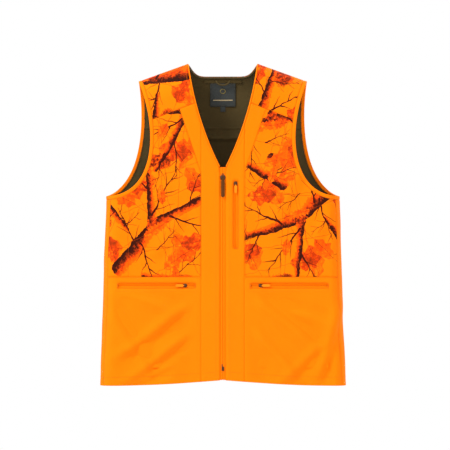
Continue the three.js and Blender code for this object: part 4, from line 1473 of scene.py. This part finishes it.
TAPE_WIDTH = 0.0134
ZIP_SECTION = [
    # across the tape from the zip's middle, and how deep
    (0.00025, 0.00005), (0.0010, -0.00035), (0.0026, -0.00045), (0.0036, -0.00010), (0.0060, -0.00022),
    (0.0085, -0.00010), (TAPE_WIDTH, -0.00015), (TAPE_WIDTH, 0.00035), (0.0036, 0.00035),
    (0.0026, 0.00060), (0.0010, 0.00060), (0.00025, 0.00025),
]


def zip_half(name, body, centre, sign, span, across_axis, nodes):
    """One half of a coil zip: a ribbed tape that meets the other half in a thin line, and its coil."""
    spots = np.arange(span[0], span[1], 0.0016)
    sections = []
    for i, spot in enumerate(spots):
        ridge = 0.00012 * (i % 2)
        ring = []
        for across, deep in ZIP_SECTION:
            on_coil = 0.0008 < across < 0.003 and deep < 0
            deep = TAPE_PLANE + (deep - ridge if on_coil else deep)
            aside = centre + sign * across
            ring.append((aside, deep, spot) if across_axis == "x" else (spot, deep, aside))
        sections.append(ring)
    points, faces = strip_mesh(sections)
    piece = new_object(name, points, faces, TAPE_CLOTH)
    face_out(piece)
    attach(piece, body)
    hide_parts(*nodes)


def make_zips():
    for mirror in (False, True):
        sign = -1 if mirror else 1
        span = (low("left_zip_tape")[2], high("left_zip_tape")[2])
        zip_half(name_for(mirror, "zip_half"), name_for(mirror, "front"), 0, sign, span, "x",
                 [name_for(mirror, "zip_tape"), name_for(mirror, "zip_teeth")])
        for where, up in (("upper", 1), ("lower", -1)):
            node = name_for(mirror, "pocket_zip_" + where)
            span = (low(node)[0], high(node)[0])
            zip_half(node + "_half", "shell", -POCKET_ZIP_DROP, up, span, "z", [node])
    for where, sign in (("outer", 1), ("inner", -1)):
        node = "chest_zip_" + where
        span = (low(node)[2], high(node)[2])
        zip_half(node + "_half", "left_front", CHEST_ZIP_X, sign, span, "x", [node])


def tube(name, body, path, radius, cover, flat=1.0, sides=10, closed=False):
    """A round or flattened rod along a path."""
    path = np.array(path)
    count = len(path)
    sections = []
    for i in range(count):
        before = path[i - 1 if closed else max(i - 1, 0)]
        after = path[(i + 1) % count if closed else min(i + 1, count - 1)]
        along = (after - before) / np.linalg.norm(after - before)
        above = np.array([0, 1, 0]) - along[1] * along
        above /= np.linalg.norm(above)
        aside = np.cross(along, above)
        angles = np.arange(sides) * 2 * math.pi / sides
        sections.append([path[i] + radius * (math.cos(a) * aside + flat * math.sin(a) * above)
                         for a in angles])
    points, faces = strip_mesh(sections)
    if closed:
        last = (count - 1) * sides
        faces = faces[:-2]
        faces += [[last + k, last + (k + 1) % sides, (k + 1) % sides, k] for k in range(sides)]
    piece = new_object(name, points, faces, cover)
    face_out(piece)
    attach(piece, body)
    return piece


def plate_outline(half, long, top_round, low_round):
    """Half widths down a slider's plate, from its top to its end."""
    t = np.linspace(0, 1, 15)
    shoulder = np.sqrt(1 - (1 - np.minimum(t / top_round, 1)) ** 2 * 0.75)
    tail = 1 - low_round * smooth(0.55, 1.0, t)
    return [(half * a * b, long * (0.5 - u)) for u, a, b in zip(t, shoulder, tail)]


def slider(node, half, turn):
    """A slider: two rounded plates on a wall, and a bridge over the front one."""
    a, b = low(node), high(node)
    centre = (a + b) / 2
    front = TAPE_PLANE - 0.0009
    back = TAPE_PLANE + 0.0015
    long = (b[2] - a[2]) if turn == 0 else (b[0] - a[0])
    shape = bmesh.new()
    outline = plate_outline(half, long, 0.35, 0.30)
    loop = outline + [(-x, z) for x, z in outline[::-1]]
    for y0, y1 in ((front - 0.0013, front), (back, back + 0.0011)):
        rings = []
        levels = [(y0, 0.86), (y0 + 0.0003, 0.97), ((y0 + y1) / 2, 1.0), (y1 - 0.0002, 0.97), (y1, 0.9)]
        for y, shrink in levels:
            rings.append([shape.verts.new((x * shrink, y, z * (shrink * 0.5 + 0.5))) for x, z in loop])
        for r0, r1 in zip(rings, rings[1:]):
            for k in range(len(loop)):
                m = (k + 1) % len(loop)
                shape.faces.new((r0[k], r0[m], r1[m], r1[k]))
        shape.faces.new(rings[0])
        shape.faces.new(rings[-1][::-1])
    wall = [(-0.00045, -0.3), (0.00045, -0.3), (0.00045, 0.42), (-0.00045, 0.42)]
    corners = [[shape.verts.new((x, y, z * long)) for x, z in wall] for y in (front - 0.0004, back + 0.0004)]
    for k in range(4):
        m = (k + 1) % 4
        shape.faces.new((corners[0][k], corners[0][m], corners[1][m], corners[1][k]))
    shape.faces.new(corners[0][::-1])
    shape.faces.new(corners[1])
    steps = 14
    bridge, arch = [], []
    for i in range(steps + 1):
        angle = math.pi * i / steps
        rise = 0.0041 * max(math.sin(angle), 0) ** 0.8
        bridge.append((0, front - 0.0011 - rise, 0.0030 * math.cos(angle)))
    for i, spot in enumerate(bridge):
        before, after = np.array(bridge[max(i - 1, 0)]), np.array(bridge[min(i + 1, steps)])
        along = (after - before) / np.linalg.norm(after - before)
        out = np.cross((1, 0, 0), along)
        ring = [np.array(spot) + 0.0011 * math.cos(q) * np.array((1, 0, 0)) + 0.00075 * math.sin(q) * out
                for q in np.arange(8) * math.pi / 4]
        arch.append([shape.verts.new(v) for v in ring])
    for r0, r1 in zip(arch, arch[1:]):
        for k in range(8):
            shape.faces.new((r0[k], r0[(k + 1) % 8], r1[(k + 1) % 8], r1[k]))
    shape.faces.new(arch[0][::-1])
    shape.faces.new(arch[-1])
    bmesh.ops.rotate(shape, verts=shape.verts, cent=(0, 0, 0), matrix=Matrix.Rotation(turn, 3, "Y"))
    bmesh.ops.translate(shape, verts=shape.verts, vec=(centre[0], 0, centre[2]))
    bmesh.ops.recalc_face_normals(shape, faces=shape.faces)
    mesh = bpy.data.meshes.new(node + "_metal")
    shape.to_mesh(mesh)
    shape.free()
    mesh.shade_smooth()
    mesh.materials.append(BRONZE)
    piece = bpy.data.objects.new(node + "_metal", mesh)
    bpy.context.collection.objects.link(piece)
    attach(piece, node)
    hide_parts(node)


def pull(node, half, length, turn, pivot, cover):
    """A moulded pull that hangs from its slider's bridge: a soft rounded bar with a hole at the top."""
    sections = []
    neck = 0.0046 / length
    for u in np.linspace(0, 1, 40):
        z = 0.0010 - u * (length + 0.0008)
        near_end = max((u - (1 - half / length)) / (half / length), 0)
        width = half * math.sqrt(max(1 - near_end**2, 0.02)) * (0.32 + 0.68 * smooth(neck, neck + 0.10, u))
        ridge = 0.00016 * math.sin(u * length / 0.0032 * 2 * math.pi) * smooth(0.3, 0.4, u)
        ring = []
        for q in np.linspace(0, 2 * math.pi, 17)[:-1]:
            c, n = math.cos(q), math.sin(q)
            x = width * math.copysign(abs(c) ** 0.6, c)
            y = (0.0009 + ridge) * math.copysign(abs(n) ** 0.7, n)
            ring.append((x, y, z))
        sections.append(ring)
    points, faces = strip_mesh(sections)
    points = np.array([Matrix.Rotation(turn, 3, "Y") @ Vector(q) for q in points]) + np.array(pivot)
    piece = new_object(node + "_moulded", points, faces, cover)
    face_out(piece)
    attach(piece, node)
    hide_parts(node)


def make_sliders():
    slider("main_slider", 0.0060, 0.0)
    slider("chest_slider", 0.0040, 0.0)
    pivot_y = (low("main_pull")[1] + high("main_pull")[1]) / 2
    place = (0, pivot_y, high("main_pull")[2] - 0.001)
    pull("main_pull", 0.0042, 0.0460, 0.0, place, BROWN_RUBBER)
    place = (CHEST_ZIP_X, pivot_y, high("chest_pull")[2] - 0.001)
    pull("chest_pull", 0.0034, 0.0225, 0.0, place, ORANGE_RUBBER)
    for mirror in (False, True):
        sign = -1 if mirror else 1
        node = name_for(mirror, "pocket_slider")
        slider(node, 0.0040, -sign * math.pi / 2)
        tab = name_for(mirror, "pocket_pull")
        inner = low(tab)[0] if sign > 0 else high(tab)[0]
        place = (inner + sign * 0.001, pivot_y, -POCKET_ZIP_DROP)
        pull(tab, 0.0034, 0.0225, -sign * math.pi / 2, place, ORANGE_RUBBER)


def bar_tack(name, body, start, end):
    """A dense row of short stitches laid across a line."""
    start, end = np.array(start), np.array(end)
    run = (end - start) / np.linalg.norm(end - start)
    across = np.array([-run[1], run[0]]) * 0.0011
    count = int(np.linalg.norm(end - start) / 0.00055)
    points, faces = [], []
    for i in range(count):
        spot = start + (end - start) * (i + 0.5) / count
        ends = np.array([spot - across, spot + across])
        bar_points, bar_faces = thread_bar(*garment(1, ends[:, 0], ends[:, 1], np.full(2, 0.0002)))
        base = len(points)
        points += bar_points
        faces += [[v + base for v in face] for face in bar_faces]
    sew(name, points, faces, body)


def thread_bar(first, last):
    """One raised stitch between two points of the cloth."""
    thick = 0.0003
    along = (last - first) / np.linalg.norm(last - first)
    aside = np.cross(along, (0, 1, 0))
    above = np.cross(aside, along)
    rings = []
    for share, width, rise in ((0, 0.3, 0), (0.15, 1, 0.6), (0.85, 1, 0.6), (1, 0.3, 0)):
        middle = between(first, last, share) + np.array([0, -rise * thick, 0])
        rings.append([middle + thick * width * (math.cos(q) * aside + math.sin(q) * above)
                      for q in np.arange(6) * math.pi / 3])
    points, faces = strip_mesh(rings)
    return list(points), faces


def make_tacks():
    for mirror in (False, True):
        sign = -1 if mirror else 1
        for where, x in (("inner", POCKET_ZIP[0] - 0.0016), ("outer", POCKET_ZIP[1] + 0.0016)):
            z = -POCKET_ZIP_DROP
            ends = (sign * x, z + SLOT_HALF), (sign * x, z - SLOT_HALF)
            bar_tack(name_for(mirror, "pocket_tack_" + where), "shell", *ends)
    for where, z in (("upper", CHEST_ZIP[0] + 0.0016), ("lower", CHEST_ZIP[1] - 0.0016)):
        ends = (CHEST_ZIP_X - SLOT_HALF, z), (CHEST_ZIP_X + SLOT_HALF, z)
        bar_tack("chest_tack_" + where, "left_front", *ends)


# ---- inside the neck --------------------------------------------------------------------------
LABEL_PLANE = LINING_DEPTH + LINING + 0.0016


def height_on_cloth(x, z):
    """How high on the cloth a point of the front view is."""
    lean = np.arcsin(np.clip((z - crown(x)) / SHOULDER_ROUND, 0, 1))
    return np.where(z > crown(x), crown(x) + SHOULDER_ROUND * lean, z)


def neck_sheet(name, node, cover, thick, ripple=0.0, radius=0.0):
    """A small sheet behind the neck, laid where its node lies, with rounded corners."""
    a, b = low(node), high(node)
    half, top, bottom = b[0], b[2], a[2]
    columns, rows = 40, 40
    xs = np.linspace(-half, half, columns)
    zs = np.linspace(top, bottom, rows)
    x, z = np.meshgrid(xs, zs, indexing="ij")
    corner_x = np.maximum(np.abs(x) - (half - radius), 0)
    corner_z = np.maximum(np.abs(z - (top + bottom) / 2) - ((top - bottom) / 2 - radius), 0)
    far = np.hypot(corner_x, corner_z)
    shrink = np.where(far > radius, radius / np.maximum(far, 1e-9), 1) if radius else np.ones_like(far)
    x = np.sign(x) * (np.minimum(np.abs(x), half - radius) + corner_x * shrink)
    middle = (top + bottom) / 2
    straight = np.minimum(np.abs(z - middle), (top - bottom) / 2 - radius)
    z = middle + np.sign(z - middle) * (straight + corner_z * shrink)
    height = height_on_cloth(x, z)
    lift = ripple * waves(x, z, 5, 5, 0.03)
    near = garment(-1, x, height, -LABEL_PLANE + lift)
    far_side = garment(-1, x, height, -LABEL_PLANE - thick + lift)
    points = np.concatenate([near.reshape(-1, 3), far_side.reshape(-1, 3)])
    faces = slab_faces(columns, rows)
    piece = new_object(name, points, faces, cover)
    face_out(piece)
    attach(piece, "shell")
    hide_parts(node)
    width, length = 2 * half + 0.001, top - bottom + 0.012
    min(sheet_area(near), width * length)


def neck_curve(points, rise):
    """Points of the front view, put on the inner face of the neck label."""
    spots = np.array(points)
    x, z = spots[:, 0], spots[:, 1]
    inside = LABEL_PLANE + 0.0008 + rise
    return garment(-1, x, height_on_cloth(x, z), np.full(len(x), -inside))


def make_neck():
    neck_sheet("neck_tape_cloth", "neck_tape", LINING_CLOTH, 0.0006)
    neck_sheet("neck_label_cloth", "neck_label", LABEL_CLOTH, 0.0008, 0.0004, 0.002)
    neck_sheet("size_tag_cloth", "size_tag", LABEL_CLOTH, 0.0006, 0.0, 0.0008)
    a, b = low("neck_label"), high("neck_label")
    half, top, bottom = b[0] - 0.0022, b[2] - 0.0022, a[2] + 0.0022
    border = [(-half, top), (half, top), (half, bottom), (-half, bottom), (-half, top)]
    points, faces = stitch_mesh([neck_curve(dense(border), 0.0002)], 0.00030)
    sew("label_border_stitching", points, faces, "shell", OLIVE_THREAD)
    make_emblem((top + bottom) / 2)


def dense(corners, step=0.002):
    track = []
    for first, last in zip(corners, corners[1:]):
        count = max(int(math.dist(first, last) / step), 1)
        track += [tuple(between(np.array(first), np.array(last), i / count)) for i in range(count)]
    return track + [corners[-1]]


def make_emblem(middle):
    """A plain embroidered ring over one satin bar."""
    radius, rise = 0.0058, 0.0085
    turns = np.linspace(0, 2 * math.pi, 48, endpoint=False)
    ring = [(radius * math.cos(q), middle + rise + radius * math.sin(q)) for q in turns]
    tube("label_ring", "shell", neck_curve(ring, 0.0002), 0.0006, GOLD_THREAD, 0.6, 6, closed=True)
    bar = [(-0.023, middle - 0.0135), (0.023, middle - 0.0135)]
    tube("label_bar", "shell", neck_curve(dense(bar, 0.001), 0.0003), 0.0013, PALE_THREAD, 0.35, 8)


def make_hanger_loop():
    """A narrow tape that droops from both ends of its seam."""
    a, b = low("hanger_loop"), high("hanger_loop")
    half, fall = b[0] - 0.002, (b[2] - a[2]) - 0.002
    deep = (a[1] + b[1]) / 2
    angles = np.linspace(0, math.pi, 41)
    path = [(-half * math.cos(q), deep, b[2] - fall * math.sin(q)) for q in angles]
    piece = tube("hanger_loop_tape", "hanger_loop", path, 0.0019, LINING_CLOTH, 0.26, 12)
    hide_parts("hanger_loop")


make_yokes()
make_chest_panels()
make_neck_bands()
make_bands()
make_pocket_fronts()
make_side_panels()
make_back()
make_linings()
make_hem_facings()
make_armhole_bindings()
make_neck_edges()
make_hem_edges()
make_stitching()
make_zips()
make_sliders()
make_tacks()
make_neck()
make_hanger_loop()


# ---- the remaining pieces of the frame --------------------------------------------------------
def cover_nodes(cover, *names):
    for name in names:
        node = frame["nodes"][name]
        node.data.materials.clear()
        node.data.materials.append(cover)


cover_nodes(BLAZE_CLOTH, "chest_pocket_bag", "left_pocket_bag", "right_pocket_bag")
cover_nodes(BRONZE, "left_top_stop", "right_top_stop", "retainer_box", "insertion_pin")

SLOTS = {
    "printed_cloth": [*YOKE_PRINTS, *CHEST_PRINTS, BACK_PRINT],
    "olive_lining": [LINING_CLOTH, OLIVE_THREAD],
    "label_cloth": [LABEL_CLOTH, PALE_THREAD],
    "bronze_metal": [BRONZE],
    "brown_rubber": [BROWN_RUBBER],
    "orange_rubber": [ORANGE_RUBBER],
}


def name_slots():
    """Look up the record's slot for each new piece's first material, blaze cloth for the rest; the result is not
    kept.
    """
    slot_of = {material.name: slot for slot, materials in SLOTS.items() for material in materials}
    for piece in bpy.context.scene.objects:
        if piece.type == "MESH" and "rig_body" in piece and piece.name not in frame["nodes"]:
            slot_of.get(piece.data.materials[0].name, "blaze_cloth")


name_slots()
